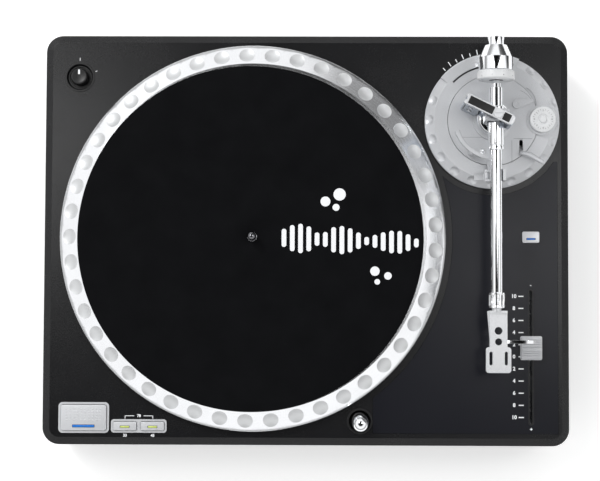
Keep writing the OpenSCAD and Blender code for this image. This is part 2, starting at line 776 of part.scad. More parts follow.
module arm_base() {
    z0 = plate_top - plate_t;
    color([0.82, 0.82, 0.84]) at_arm() difference() {
        union() {
            translate([0, 0, z0]) cylinder(r = plate_r, h = plate_t, $fn = 120);
            translate([0, 0, deck_z - 30]) ring(guide_in - run_gap, 20, z0 - deck_z + 31);
            translate([0, 0, z0]) cylinder(r = boss_r, h = plate_t + 3);
            translate([skate_pos[0], skate_pos[1], lug_bottom])
                cylinder(r = skate_r + 2.2, h = lug_top - lug_bottom);
            translate([skate_pos[0], skate_pos[1], lug_bottom]) cylinder(r = 2, h = 6.2);
            translate([lock_pos[0], lock_pos[1], z0]) cylinder(r = 1.5, h = plate_t + 1.8);
            for (s = [-1, 1]) translate([cue_pos[0] + s * 3.2 - 1, cue_pos[1] - 3, cue_pivot_z - 2.5])
                cube([2, 6, z0 - cue_pivot_z + 3]);
            translate([cue_pos[0] - 3.5, cue_pos[1], cue_pivot_z])
                rotate([0, 90, 0]) cylinder(r = 0.9, h = 7);
            rotate([0, 0, lift_post_angle]) translate([lift_r, 0, z0])
                cylinder(r = lift_post_r + lift_boss_wall, h = plate_t + 2);
        }
        translate([0, 0, plate_top - 2]) cylinder(r = pillar_r, h = 12);
        rotate([0, 0, lift_post_angle]) translate([lift_r, 0, deck_z - 31])
            cylinder(r = lift_post_r + run_gap, h = 60);
        translate([cue_pos[0], cue_pos[1], z0 - 1]) linear_extrude(plate_t + 2) rrect(3, 12, 1.45);
    }
}

module pillar() {
    color([0.85, 0.85, 0.87]) at_arm() difference() {
        union() {
            translate([0, 0, plate_top - 2]) cylinder(r = pillar_r, h = pillar_top - plate_top + 0.5);
            translate([0, 0, pillar_top - 1.6]) cylinder(r = pillar_r - 0.8, h = 1.6);
        }
        translate([0, 0, plate_top + 2]) cylinder(r = yaw_pin_r + run_gap, h = 40);
    }
}

module gimbal_bridge() {
    color([0.85, 0.85, 0.87]) at_arm() rotate([0, 0, bridge_angle]) difference() {
        union() {
            translate([-bridge_left + bridge_w / 2, -bridge_w / 2, bridge_bottom])
                cube([bridge_left + bridge_right - bridge_w, bridge_w, bridge_t]);
            for (x = [-bridge_left + bridge_w / 2, bridge_right - bridge_w / 2])
                translate([x, 0, bridge_bottom]) cylinder(r = bridge_w / 2, h = bridge_t);
            translate([-bridge_left, -bridge_w / 2, plate_top])
                cube([bridge_left - bridge_leg_in, bridge_w, bridge_bottom - plate_top + 1]);
            intersection() {
                translate([yoke_half + 2, -bridge_w / 2, pillar_top])
                    cube([2.7, bridge_w, bridge_bottom - pillar_top + 1]);
                translate([0, 0, pillar_top]) cylinder(r = pillar_r, h = 60);
            }
        }
        translate([0, 0, bridge_bottom - 1]) cylinder(r = 2.5, h = bridge_t + 2);
        translate([-bridge_left + 3.4, -bridge_w / 2 + 1.1, bridge_bottom + bridge_t - 0.5])
            cube([bridge_left + bridge_right - 7.6, bridge_w - 2.2, 1]);
    }
}

module pivot_screw() {
    color([0.8, 0.8, 0.82]) at_arm() difference() {
        union() {
            translate([0, 0, arm_z + yoke_high + 0.5])
                cylinder(r = screw_tip_r, h = bridge_bottom - arm_z - yoke_high);
            translate([0, 0, bridge_bottom]) cylinder(r = 2.5, h = bridge_t);
            translate([0, 0, bridge_bottom + bridge_t - 0.5]) cylinder(r = 3.8, h = 1.6);
        }
        translate([-3, -0.4, bridge_bottom + bridge_t + 0.4]) cube([6, 0.8, 2]);
    }
}

module gimbal_yoke() {
    low = arm_z - yoke_low;
    high = arm_z + yoke_high;
    color([0.7, 0.7, 0.72]) at_arm() difference() {
        union() {
            translate([-yoke_half, -yoke_depth / 2, pillar_top + 0.4])
                cube([2 * yoke_half, yoke_depth, low - pillar_top - 0.4]);
            for (s = [-1, 1]) translate([s * (yoke_half - yoke_wall / 2), 0, arm_z])
                cube([yoke_wall, yoke_depth, yoke_low + yoke_high + 2], center = true);
            translate([-yoke_half, -yoke_depth / 2, high]) cube([2 * yoke_half, yoke_depth, 3.4]);
            translate([0, 0, plate_top + 3]) cylinder(r = yaw_pin_r, h = pillar_top - plate_top - 2);
        }
        translate([-20, 0, arm_z]) rotate([0, 90, 0]) cylinder(r = axle_r + run_gap, h = 40);
        translate([0, 0, high - 1]) cylinder(r = screw_tip_r + run_gap, h = 10);
    }
}

// ---------------------------------------------------------------- arm

module arm_sleeve() {
    color([0.85, 0.85, 0.87]) difference() {
        union() {
            along_arm(sleeve_r, -sleeve_front, sleeve_back);
            along_arm(stub_r, sleeve_back - 1, stub_end);
            along_arm(shaft_r, stub_end - 1, shaft_end);
            translate([arm_x - yoke_half, arm_y, arm_z])
                rotate([0, 90, 0]) cylinder(r = axle_r, h = 2 * yoke_half);
        }
        along_arm(tube_r, -sleeve_front - 1, -sleeve_back);
    }
}

module arm_tube() {
    color([0.85, 0.85, 0.87]) difference() {
        along_arm(tube_r, -arm_len, -sleeve_back);
        along_arm(tube_r - tube_wall, -arm_len - 1, -sleeve_back + 1);
    }
}

module locking_collar() {
    grip_r = 0.5;
    color([0.85, 0.85, 0.87]) difference() {
        along_arm(collar_r, -arm_len, -arm_len + collar_len);
        along_arm(tube_r + run_gap, -arm_len - 1, -arm_len + collar_len + 1);
        for (i = [0 : 23]) translate([arm_x, arm_y, arm_z]) rotate([0, i * 15, 0])
            translate([0, -arm_len + 3, collar_r + 0.15])
                rotate([-90, 0, 0]) cylinder(r = grip_r, h = collar_len - 6);
    }
}

module headshell() {
    x = arm_x + head_off;
    y0 = arm_y - head_start;
    y1 = y0 - head_body_len;
    y2 = y1 - head_wide_len;
    z = head_top - head_t;
    color([0.75, 0.75, 0.77]) difference() {
        union() {
            translate([arm_x, y0 - 1, arm_z])
                rotate([-90, 0, 0]) cylinder(r = tube_r - 0.95, h = head_neck + 1);
            translate([x - head_body_w / 2, y1, z]) cube([head_body_w, head_body_len, head_t]);
            for (s = [-1, 1]) translate([x + s * (head_body_w / 2 - 0.8), (y0 + y1) / 2, z - 1.5])
                cube([1.6, head_body_len, 4], center = true);
            translate([x - head_body_w / 2, y0 - 2.4, arm_z - 5]) cube([head_body_w, 2.4, 7.4]);
            translate([x, (y1 + y2) / 2, z])
                linear_extrude(head_t) rrect(head_wide_w, head_wide_len + 1, 2.5);
            translate([0, 0, z]) linear_extrude(1.6) polygon([
                [x - head_body_w / 2, y0], [x - head_body_w / 2 - 2, y0 - 0.5],
                [x - head_body_w / 2, y0 - 24]]);
        }
        for (s = [-1, 1]) translate([x + s * cart_pitch / 2, arm_y - slot_mid, z - 1])
            linear_extrude(head_t + 2) rrect(2 * slot_r, slot_len, slot_r - 0.01);
        translate([x, y0 - 16.7, z - 5]) cylinder(r = 3.2, h = 12);
        translate([x, y0 - 25.8, z - 5]) cylinder(r = 2.9, h = 12);
    }
}

module finger_lift() {
    x = arm_x + head_off + head_body_w / 2;
    y = arm_y - head_start - 25.9;
    color([0.8, 0.8, 0.82]) translate([x, y + 1.4, head_top - 2.4]) rotate([90, 0, 0]) linear_extrude(2.8)
        polygon([[0, 0], [12, 0], [19, 2.2], [22.6, 5.4], [21.7, 6.2], [18.4, 3.3], [11.7, 1.2], [0, 1.2]]);
}

module weight_sleeve() {
    color([0.3, 0.3, 0.32]) difference() {
        along_arm(weight_sleeve_r, dial_front, weight_back - 1);
        along_arm(shaft_r + run_gap, dial_front - 1, weight_back);
    }
}

module counterweight() {
    straight = 11.4;
    color([0.85, 0.85, 0.87]) translate([arm_x, arm_y, arm_z]) rotate([-90, 0, 0]) rotate_extrude() polygon([
        [weight_sleeve_r + run_gap, weight_front], [weight_sleeve_r + 2, weight_front],
        [weight_sleeve_r + 2, weight_front + 16.5], [weight_sleeve_r + 2.6, weight_front + 16.5],
        [weight_r - 2.4, weight_front + 11], [weight_r - 2.4, weight_front],
        [weight_r - 0.6, weight_front], [weight_r, weight_front + 0.6],
        [weight_r, weight_front + straight], [weight_r - 4.8, weight_back],
        [weight_sleeve_r + run_gap, weight_back]]);
}

module weight_cap() {
    color([0.85, 0.85, 0.87]) translate([arm_x, arm_y, arm_z]) rotate([-90, 0, 0]) rotate_extrude() polygon([
        [0, weight_back + cap_len - 1.4], [5, weight_back + cap_len - 1.4], [5, weight_back],
        [6.9, weight_back], [6.9, weight_back + cap_len - 0.8], [6.2, weight_back + cap_len],
        [0, weight_back + cap_len]]);
}

module force_dial() {
    color([0.9, 0.9, 0.9]) translate([arm_x, arm_y, arm_z]) rotate([-90, 0, 0]) rotate_extrude() polygon([
        [weight_sleeve_r + run_gap, dial_front], [10, dial_front], [11, dial_front + 0.8],
        [force_r - 1, dial_front], [force_r, dial_front + 1], [force_r, dial_front + dial_t - 0.6],
        [force_r - 0.6, dial_front + dial_t], [weight_sleeve_r + run_gap, dial_front + dial_t]]);
}

module antiskate_dial() {
    z = lug_top + move_gap;
    color([0.9, 0.9, 0.9]) translate([arm_x + skate_pos[0], arm_y + skate_pos[1], z])
        rotate_extrude() polygon([
            [2 + run_gap, 0], [skate_r, 0], [skate_r, 4.4], [skate_r - 1, 5.4], [4.4, 5.8], [3.8, 5.2],
            [3.2, 5.9], [2.6, 6.2], [0, 6.2], [0, 4.9], [2 + run_gap, 4.9]]);
}

module lock_lever() {
    z = plate_top + move_gap;
    tip = 1.1;
    color([0.85, 0.85, 0.86]) translate([arm_x + lock_pos[0], arm_y + lock_pos[1], z])
        rotate([0, 0, lock_angle]) difference() {
            hull() {
                cylinder(r = 3.8, h = 1.5, $fn = 40);
                translate([lock_len - tip, 0, 0]) cylinder(r = tip, h = 1.5, $fn = 24);
            }
            translate([0, 0, -1]) cylinder(r = 1.5 + run_gap, h = 4);
        }
}

module cue_lever() {
    stem_top = 13;
    stem_front = -stem_top * sin(cue_rest_tilt);
    color([0.72, 0.72, 0.74]) translate([arm_x + cue_pos[0], arm_y + cue_pos[1], cue_pivot_z]) {
        difference() {
            rotate([cue_rest_tilt, 0, 0]) union() {
                rotate([0, 90, 0]) cylinder(r = 2.2, h = 2 * cue_half, center = true);
                translate([-cue_half, -1.2, 0]) cube([2 * cue_half, 2.4, stem_top]);
            }
            rotate([0, 90, 0]) cylinder(r = 0.9 + run_gap, h = 10, center = true);
        }
        hull() {
            translate([0, stem_front - 0.2, stem_top - 1]) sphere(1.7, $fn = 24);
            translate([7, stem_front - 2.2, stem_top + 1.5]) sphere(2.4, $fn = 24);
        }
        hull() {
            translate([7, stem_front - 2.2, stem_top + 1.5]) sphere(2.4, $fn = 24);
            translate([17.4, stem_front - 8.8, stem_top + 5]) sphere(1.9, $fn = 24);
        }
    }
}

module cue_lift() {
    a0 = 203;
    a1 = 266;
    bar_t = 3;
    color([0.6, 0.6, 0.62]) at_arm() {
        translate([0, 0, lift_top - bar_t]) intersection() {
            ring(lift_r + lift_half, lift_r - lift_half, bar_t);
            linear_extrude(bar_t) wedge(a0, a1, 2 * lift_r);
        }
        for (a = [a0, a1]) rotate([0, 0, a]) translate([lift_r, 0, lift_top - bar_t])
            cylinder(r = lift_half + 0.4, h = bar_t);
        rotate([0, 0, lift_post_angle]) translate([lift_r, 0, plate_top - 8])
            cylinder(r = lift_post_r, h = lift_top - bar_t - plate_top + 9);
    }
}

module arm_rest() {
    top = arm_z - tube_r - move_gap;
    y_in = -(plate_r - 2.4);
    y_far = -(rest_dist + rest_half);
    low = plate_top;
    color([0.85, 0.85, 0.86]) at_arm() {
        translate([-5, y_far, low]) cube([10, y_in - y_far, 3]);
        translate([-5, y_far, low]) cube([10, 2 * rest_half, top - low]);
        translate([tube_r + 0.5, y_far, top - 4]) cube([2.4, 2 * rest_half, tube_r + 7]);
        translate([4, y_far, top - 4]) cube([3, 2 * rest_half, 4]);
        for (y = [y_far, y_far + 2 * rest_half - 2]) {
            translate([clip_x, y, clip_z]) rotate([-90, 0, 0]) cylinder(r = 2, h = 2);
            translate([clip_x, y, clip_z - 2]) cube([3.2, 2, 4]);
        }
        translate([clip_x, y_far + 0.5, clip_z]) rotate([-90, 0, 0]) cylinder(r = 1, h = 2 * rest_half - 1);
    }
}

module rest_clip() {
    y = -rest_dist - clip_w / 2;
    color([0.8, 0.8, 0.81]) translate([arm_x + clip_x, arm_y + y, clip_z]) rotate([-90, 0, 0]) difference() {
        linear_extrude(clip_w) union() {
            circle(2.1);
            translate([-1.1, 0]) square([2.2, 17]);
            translate([-9.2, 14.8]) square([10.3, 2.2]);
        }
        translate([0, 0, -1]) cylinder(r = 1 + run_gap, h = clip_w + 2);
    }
}

top_cover();
base_tray();
foot_housings();
foot_pads();
case_screws();
control_panel();
motor_plate();
bearing_housing();
bearing_bushes();
thrust_ball();
stator_board();
stator_coils();
main_board();
power_supply();
audio_jacks();
ground_post();
mains_inlet();
line_switch();
power_switch();
power_trim();
power_knob();
start_bezel();
start_button();
speed_bezel();
button_33();
button_45();
switch_board();
quartz_button();
fader_body();
fader_trim();
fader_knob();
lamp_collar();
target_lamp();
platter();
slipmat();
spindle();
rotor_magnet();
height_guide();
height_ring();
arm_base();
pillar();
gimbal_bridge();
pivot_screw();
gimbal_yoke();
arm_sleeve();
arm_tube();
locking_collar();
headshell();
finger_lift();
weight_sleeve();
counterweight();
weight_cap();
force_dial();
antiskate_dial();
lock_lever();
cue_lever();
cue_lift();
arm_rest();
rest_clip();
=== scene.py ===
"""Looks of a direct-drive record player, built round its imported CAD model.

Everything is in metres in the CAD's own frame: +X is the tonearm's side, +Y the back and +Z up.
"""
import json
from math import cos, hypot, pi, radians, sin, sqrt, tan, tau

import bmesh
import bpy
from mathutils import Matrix, Vector, geometry, noise


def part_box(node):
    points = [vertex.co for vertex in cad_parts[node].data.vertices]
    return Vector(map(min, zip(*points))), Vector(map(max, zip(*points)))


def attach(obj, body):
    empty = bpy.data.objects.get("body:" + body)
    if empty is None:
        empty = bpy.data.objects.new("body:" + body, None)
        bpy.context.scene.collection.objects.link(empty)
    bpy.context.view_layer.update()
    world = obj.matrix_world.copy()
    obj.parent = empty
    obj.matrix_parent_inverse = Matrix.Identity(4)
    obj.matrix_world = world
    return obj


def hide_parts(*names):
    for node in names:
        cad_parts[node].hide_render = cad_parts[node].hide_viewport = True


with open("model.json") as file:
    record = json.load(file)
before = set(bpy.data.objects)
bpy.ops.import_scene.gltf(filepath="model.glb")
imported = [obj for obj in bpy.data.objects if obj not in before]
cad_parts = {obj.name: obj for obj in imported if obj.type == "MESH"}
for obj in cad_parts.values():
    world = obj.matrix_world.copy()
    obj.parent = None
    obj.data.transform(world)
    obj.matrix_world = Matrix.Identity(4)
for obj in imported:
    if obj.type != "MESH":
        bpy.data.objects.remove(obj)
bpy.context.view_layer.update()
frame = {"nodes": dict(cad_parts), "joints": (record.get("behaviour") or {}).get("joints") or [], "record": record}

MM = 0.001
QUARTER = pi / 2
NODES = frame["nodes"]
RECORD = frame["record"]
BODY_OF = {n: body for body, nodes in RECORD["behaviour"]["bodies"].items() for n in nodes}
SLOT_OF = {part["node"]: part["material_slot"] for part in RECORD["subparts"]}


def joint_at(name):
    return Vector(next(j["pos_m"] for j in frame["joints"] if j["name"] == name))


def centre(node):
    low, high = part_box(node)
    return (low + high) / 2


# Places and sizes that the CAD model gives
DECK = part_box("top_cover")[1].z
PIVOT = joint_at("arm_swing")
PLATTER = joint_at("platter_spin")
PLATTER_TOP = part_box("platter")[1].z
MAT_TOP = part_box("slipmat")[1].z
SHAFT_R = (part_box("spindle")[1].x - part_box("spindle")[0].x) / 2


# ---------------- meshes

class Shape:
    """Points and faces of one piece, with a material number for each face."""

    def __init__(self):
        self.points, self.faces, self.numbers = [], [], []

    def add(self, points, faces, number=0, place=None):
        first = len(self.points)
        for p in points:
            p = Vector(p)
            self.points.append(place @ p if place else p)
        self.faces += [[first + i for i in f] for f in faces]
        self.numbers += [number] * len(faces)
        return self

    def join(self, other, place=None):
        first = len(self.points)
        self.points += [place @ p if place else p for p in other.points]
        self.faces += [[first + i for i in f] for f in other.faces]
        self.numbers += other.numbers
        return self


def at(x=0.0, y=0.0, z=0.0):
    return Matrix.Translation((x, y, z))


def spun(angle, axis="Z"):
    return Matrix.Rotation(angle, 4, axis)


def mm(*points):
    """Points written in millimetres, as metres."""
    return [tuple(v * MM for v in p) for p in points]


def along_y(y=0.0):
    """Turns local Z into +Y, on the arm's centreline, y metres behind the pivot."""
    return at(PIVOT.x, PIVOT.y + y, PIVOT.z) @ spun(-QUARTER, "X")


NEARLY_STRAIGHT = 0.02      # radians: a corner this flat stays as it is
LONGEST_ARC = 0.48          # how much of a side a rounded corner may take


def rounded(points, radius, steps=4, closed=True):
    """A flat outline with its corners rounded; a point may carry its own radius."""
    out, count = [], len(points)
    for i, point in enumerate(points):
        corner = Vector(point[:2])
        size = point[2] if len(point) > 2 else radius
        if size <= 0 or (not closed and i in (0, count - 1)):
            out.append(corner)
            continue
        before = Vector(points[i - 1][:2]) - corner
        after = Vector(points[(i + 1) % count][:2]) - corner
        half = before.angle(after) / 2
        if half > QUARTER - NEARLY_STRAIGHT:
            out.append(corner)
            continue
        reach = min(size / tan(half), LONGEST_ARC * min(before.length, after.length))
        start, end = before.normalized() * reach, after.normalized() * reach
        for k in range(steps + 1):
            u = k / steps
            out.append(corner + start * (1 - u) ** 2 + end * u ** 2)
    return out


def circle(radius, count, x, y):
    angles = [tau * i / count for i in range(count)]
    return [Vector((x + radius * cos(a), y + radius * sin(a))) for a in angles]


def rounded_box(w, d, radius, x=0.0, y=0.0, steps=8):
    """A rectangle with arcs for corners, anticlockwise."""
    out = []
    for cx, cy, quarter in ((1, 1, 0), (-1, 1, 1), (-1, -1, 2), (1, -1, 3)):
        for k in range(steps + 1):
            a = (quarter + k / steps) * QUARTER
            out.append(Vector((x + cx * (w / 2 - radius) + radius * cos(a),
                               y + cy * (d / 2 - radius) + radius * sin(a))))
    return out


ON_AXIS = 1e-7              # a smaller radius in a profile is a point on its axis
SHARPEST = 0.35             # keeps the inset of a very sharp corner short


def inset(loop, by):
    """The closed anticlockwise outline moved inwards."""
    out = []
    for i, p in enumerate(loop):
        a = (p - loop[i - 1]).normalized()
        b = (loop[(i + 1) % len(loop)] - p).normalized()
        na, nb = Vector((-a.y, a.x)), Vector((-b.y, b.x))
        middle = (na + nb).normalized()
        out.append(p + middle * (by / max(SHARPEST, middle.dot(na))))
    return out


def edge_rings(z0, z1, low=0.0, high=0.0, steps=3):
    """Insets and heights up a wall whose bottom and top edges are rounded."""
    rings = []
    if low > 0:
        rings += [(low * (1 - sin(a)), z0 + low * (1 - cos(a)))
                  for a in (k / steps * QUARTER for k in range(steps))]
    rings.append((0.0, z0 + low))
    rings.append((0.0, z1 - high))
    if high > 0:
        rings += [(high * (1 - cos(a)), z1 - high + high * sin(a))
                  for a in ((k + 1) / steps * QUARTER for k in range(steps))]
    return rings


def strip(low, high, count):
    """Quads between two rings of points, from the number of each ring's first point."""
    return [[low + i, low + (i + 1) % count, high + (i + 1) % count, high + i] for i in range(count)]


def strips(rings, count, first=0):
    """Quads up a stack of rings."""
    return [quad for k in range(first, rings - 1) for quad in strip(k * count, (k + 1) * count, count)]


def fan(first, tip, count):
    """Triangles from a ring of points to one point."""
    return [[first + i, first + (i + 1) % count, tip] for i in range(count)]


def prism(outline, rings, holes=(), number=0, place=None):
    """A solid whose outline follows rings of (inset, height), capped at both ends, with holes through it."""
    shape = Shape()
    walls = [(outline, rings)] + [(hole, [(0.0, rings[0][1]), (0.0, rings[-1][1])]) for hole in holes]
    ends = [[], []]
    for loop, levels in walls:
        count, points = len(loop), []
        for by, z in levels:
            points += [(p.x, p.y, z) for p in (inset(loop, by) if by else loop)]
        shape.add(points, strips(len(levels), count), number, place)
        ends[0].append([Vector(p) for p in points[:count]])
        ends[1].append([Vector(p) for p in points[-count:]])
    for loops in ends:
        flat = [p for loop in loops for p in loop]
        cap = geometry.tessellate_polygon(loops) if len(loops) > 1 else [range(len(flat))]
        shape.add(flat, [list(face) for face in cap], number, place)
    return shape


def lathe(profile, turns=96, place=None, loop=False):
    """A profile of (radius, height) turned about local Z; loop closes a ring's section."""
    points, faces, rows = [], [], []
    for p in profile:
        if p[0] < ON_AXIS:
            rows.append([len(points)] * turns)
            points.append((0.0, 0.0, p[1]))
            continue
        rows.append(list(range(len(points), len(points) + turns)))
        points += [(p[0] * cos(tau * i / turns), p[0] * sin(tau * i / turns), p[1]) for i in range(turns)]
    for low, high in list(zip(rows, rows[1:])) + ([(rows[-1], rows[0])] if loop else []):
        for i in range(turns):
            j = (i + 1) % turns
            face = list(dict.fromkeys((low[i], low[j], high[j], high[i])))
            if len(face) > 2:
                faces.append(face)
    return Shape().add(points, faces, 0, place)


def turned(profile, radius=0.3 * MM, turns=96, place=None, loop=False):
    """lathe() with the profile's corners rounded; a profile that isn't a loop starts and ends on the axis."""
    return lathe(rounded(profile, radius, closed=loop), turns, place, loop)


def ridged(rows, turns, wave):
    """Rings of points for rows of (radius, height, cut) in millimetres; wave(step) gives the cut's share."""
    points = []
    for r, h, cut in rows:
        for i in range(turns):
            size = (r - cut * wave(i)) * MM
            points.append((size * cos(tau * i / turns), size * sin(tau * i / turns), h * MM))
    return points


def placed(name, data):
    """A new object in the scene."""
    made = bpy.data.objects.new(name, data)
    bpy.context.scene.collection.objects.link(made)
    return made


def letters(text, size, thick, place, bold=0.0):
    """Generic numerals as thin solid letters, centred on the place."""
    curve = bpy.data.curves.new("letters", "FONT")
    curve.body, curve.size, curve.extrude = text, size, thick / 2
    curve.align_x, curve.align_y = "CENTER", "CENTER"
    curve.resolution_u = 3
    curve.offset = bold
    maker = placed("letters", curve)
    bpy.context.view_layer.update()
    made = maker.evaluated_get(bpy.context.evaluated_depsgraph_get()).to_mesh()
    points, faces = [v.co.copy() for v in made.vertices], [list(f.vertices) for f in made.polygons]
    shape = Shape().add(points, faces, 0, place)
    bpy.data.objects.remove(maker)
    bpy.data.curves.remove(curve)
    return shape


def bar(x0, y0, x1, y1, width, z0, z1):
    """A thin straight printed stroke."""
    a, b = Vector((x0, y0)), Vector((x1, y1))
    side = (b - a).normalized().orthogonal() * width / 2
    corners = [a - side, b - side, b + side, a + side]
    area = sum(p.x * q.y - q.x * p.y for p, q in zip(corners, corners[1:] + corners[:1]))
    return prism(corners if area > 0 else corners[::-1], [(0, z0), (0, z1)])


def ticks(middle, inner, marks, width, z0, z1):
    """Strokes that point away from a centre; marks are (degrees, outer radius), radii in millimetres."""
    shape = Shape()
    for angle, outer in marks:
        x, y = cos(radians(angle)), sin(radians(angle))
        shape.join(bar(middle.x + inner * MM * x, middle.y + inner * MM * y,
                       middle.x + outer * MM * x, middle.y + outer * MM * y, width, z0, z1))
    return shape


def sector(inner, outer, a0, a1, z0, z1, middle):
    """A thin curved strip round a centre, between two angles in degrees; radii in millimetres."""
    count = max(6, int(abs(a1 - a0) / 3))
    angles = [radians(a0 + (a1 - a0) * k / count) for k in range(count + 1)]
    outline = [Vector((middle.x + r * MM * cos(a), middle.y + r * MM * sin(a)))
               for r, order in ((outer, angles), (inner, angles[::-1])) for a in order]
    return prism(outline, [(0, z0), (0, z1)])


def piece(name, shape, materials, node=None, body=None, crease=32, merge=1e-7):
    """Makes the object; with a node it stands for that CAD node and rides on its body."""
    mesh = bpy.data.meshes.new(name)
    work = bmesh.new()
    made = [work.verts.new(p) for p in shape.points]
    for face, number in zip(shape.faces, shape.numbers):
        try:
            work.faces.new([made[i] for i in face]).material_index = number
        except ValueError:
            continue
    bmesh.ops.remove_doubles(work, verts=work.verts, dist=merge)
    bmesh.ops.dissolve_degenerate(work, edges=work.edges, dist=1e-8)
    bmesh.ops.recalc_face_normals(work, faces=work.faces)
    work.to_mesh(mesh)
    work.free()
    mesh.shade_smooth()
    mesh.set_sharp_from_angle(angle=radians(crease))
    for m in materials:
        mesh.materials.append(m)
    made = placed(name, mesh)
    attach(made, body or BODY_OF[node])
    if node:
        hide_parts(node)
    return made


FLAT_WITHIN = 0.6           # degrees between faces that are joined into one


def soften(node, width, material, crease=30):
    """Rounds a CAD node's edges and gives it its material, with the node's own mesh left as it is."""
    part = NODES[node]
    part.data.materials.clear()
    part.data.materials.append(material)
    part.data.shade_smooth()
    weld = part.modifiers.new("weld", "WELD")
    weld.merge_threshold = 1e-6
    flat = part.modifiers.new("flat", "DECIMATE")
    flat.decimate_type = "DISSOLVE"
    flat.angle_limit = radians(FLAT_WITHIN)
    if width > 0:
        edges = part.modifiers.new("edges", "BEVEL")
        edges.width, edges.segments = width, 2
        edges.limit_method, edges.angle_limit = "ANGLE", radians(crease)
        edges.use_clamp_overlap = True
    even = part.modifiers.new("even", "WEIGHTED_NORMAL")
    even.keep_sharp = False
    even.weight = 80


# ---------------- materials

NOISE_LOW, NOISE_HIGH = 0.3, 0.7    # most of a noise pattern's values lie between these


class Nodes:
    """Short ways to add nodes to a tree."""

    def __init__(self, tree):
        self.tree = tree

    def node(self, kind, **settings):
        """A new node; a setting is a socket that feeds an input, an input's value or the node's property."""
        made = self.tree.nodes.new(kind)
        for name, value in settings.items():
            if name not in made.inputs:
                setattr(made, name, value)
            elif isinstance(value, bpy.types.NodeSocket):
                self.wire(value, made.inputs[name])
            else:
                made.inputs[name].default_value = value
        return made

    def wire(self, source, target):
        self.tree.links.new(source, target)

    def ramp(self, pattern, stops):
        """The pattern picks the colour; stops are (position, rgb)."""
        made = self.node("ShaderNodeValToRGB", Fac=pattern)
        elements = made.color_ramp.elements
        while len(elements) < len(stops):
            elements.new(0.5)
        for element, (position, rgb) in zip(elements, stops):
            element.position = position
            element.color = (*rgb, 1)
        return made.outputs["Color"]

    def spread(self, pattern, start, end, low, high):
        """The pattern's values between start and end, stretched to run from low to high."""
        limits = {"From Min": start, "From Max": end, "To Min": low, "To Max": high}
        return self.node("ShaderNodeMapRange", Value=pattern, **limits).outputs["Result"]


class Surface(Nodes):
    """A node material, with short ways to add patterns to its shader."""

    def __init__(self, name, metallic=0.0, **fixed):
        self.material = bpy.data.materials.new(name)
        self.material.use_nodes = True
        super().__init__(self.material.node_tree)
        self.shader = self.tree.nodes["Principled BSDF"]
        for socket, value in {"Metallic": metallic, **fixed}.items():
            self.shader.inputs[socket.replace("_", " ")].default_value = value
        self.place = self.node("ShaderNodeTexCoord").outputs["Object"]
        self.normal = None

    def noise(self, scale, detail=3.0, stretch=(1, 1, 1)):
        mapping = self.node("ShaderNodeMapping", Vector=self.place, Scale=stretch)
        made = self.node("ShaderNodeTexNoise", Vector=mapping.outputs["Vector"], Scale=scale, Detail=detail,
                         Roughness=0.55)
        return made.outputs["Fac"]

    def cells(self, scale):
        return self.node("ShaderNodeTexVoronoi", Vector=self.place, Scale=scale).outputs["Distance"]

    def rings(self, middle, scale, axes="XY"):
        """Noise that changes only with the distance from an axis, as lathe marks do."""
        shift = self.node("ShaderNodeVectorMath", operation="SUBTRACT", Vector=self.place)
        shift.inputs[1].default_value = middle
        flat = self.node("ShaderNodeVectorMath", operation="MULTIPLY", Vector=shift.outputs["Vector"])
        flat.inputs[1].default_value = [float(axis in axes) for axis in "XYZ"]
        reach = self.node("ShaderNodeVectorMath", operation="LENGTH", Vector=flat.outputs["Vector"])
        return self.node("ShaderNodeTexNoise", noise_dimensions="1D", W=reach.outputs["Value"], Scale=scale,
                         Detail=4.0).outputs["Fac"]

    def blend(self, a, b, share=0.5):
        mix = self.node("ShaderNodeMix", data_type="FLOAT")
        mix.inputs[0].default_value = share
        self.wire(a, mix.inputs[2])
        self.wire(b, mix.inputs[3])
        return mix.outputs[0]

    def colour(self, pattern, stops):
        self.wire(self.ramp(pattern, stops), self.shader.inputs["Base Color"])
        return self

    def roughness(self, pattern, low, high):
        self.wire(self.spread(pattern, NOISE_LOW, NOISE_HIGH, low, high), self.shader.inputs["Roughness"])
        return self

    def bump(self, pattern, depth, strength=1.0):
        made = self.node("ShaderNodeBump", Strength=strength, Distance=depth, Height=pattern)
        if self.normal:
            self.wire(self.normal, made.inputs["Normal"])
        self.normal = made.outputs["Normal"]
        self.wire(self.normal, self.shader.inputs["Normal"])
        return self


def shades(rgb, spread):
    """The colour a little darker and a little lighter."""
    return [(NOISE_LOW, tuple(c * (1 - spread) for c in rgb)),
            (NOISE_HIGH, tuple(min(1, c * (1 + spread)) for c in rgb))]


def moulded(name, rgb, rough, grain=0.35 * MM, depth=0.012 * MM, spread=0.06, **fixed):
    """Moulded plastic: a fine spark-eroded grain, broad unevenness and slightly shinier worn patches."""
    s = Surface(name, **fixed)
    s.colour(s.blend(s.noise(9), s.noise(1 / grain, 2), 0.35), shades(rgb, spread))
    s.roughness(s.blend(s.noise(22, 5), s.noise(900, 2), 0.4), rough * 0.86, rough * 1.14)
    s.bump(s.noise(1 / grain, 2), depth)
    return s.bump(s.noise(14, 2), 0.02 * MM).material


def plated(name, rgb, rough, spread=0.03):
    """Bright plate: faint smudges and hairline polishing marks."""
    s = Surface(name, metallic=1.0)
    s.colour(s.noise(60, 4), shades(rgb, spread))
    s.roughness(s.blend(s.noise(90, 5), s.noise(420, 3, (1, 0.05, 1)), 0.4), rough * 0.6, rough * 1.7)
    return s.bump(s.noise(260, 2, (1, 0.15, 1)), 0.0025 * MM).material


def machined(name, rgb, rough, middle, axes="XY", scale=1500):
    """Turned metal: fine rings round an axis."""
    s = Surface(name, metallic=1.0)
    marks = s.rings(middle, scale, axes)
    s.colour(s.blend(marks, s.noise(35, 4), 0.5), shades(rgb, 0.05))
    s.roughness(s.blend(marks, s.noise(50, 4), 0.4), rough * 0.7, rough * 1.4)
    return s.bump(marks, 0.003 * MM).material


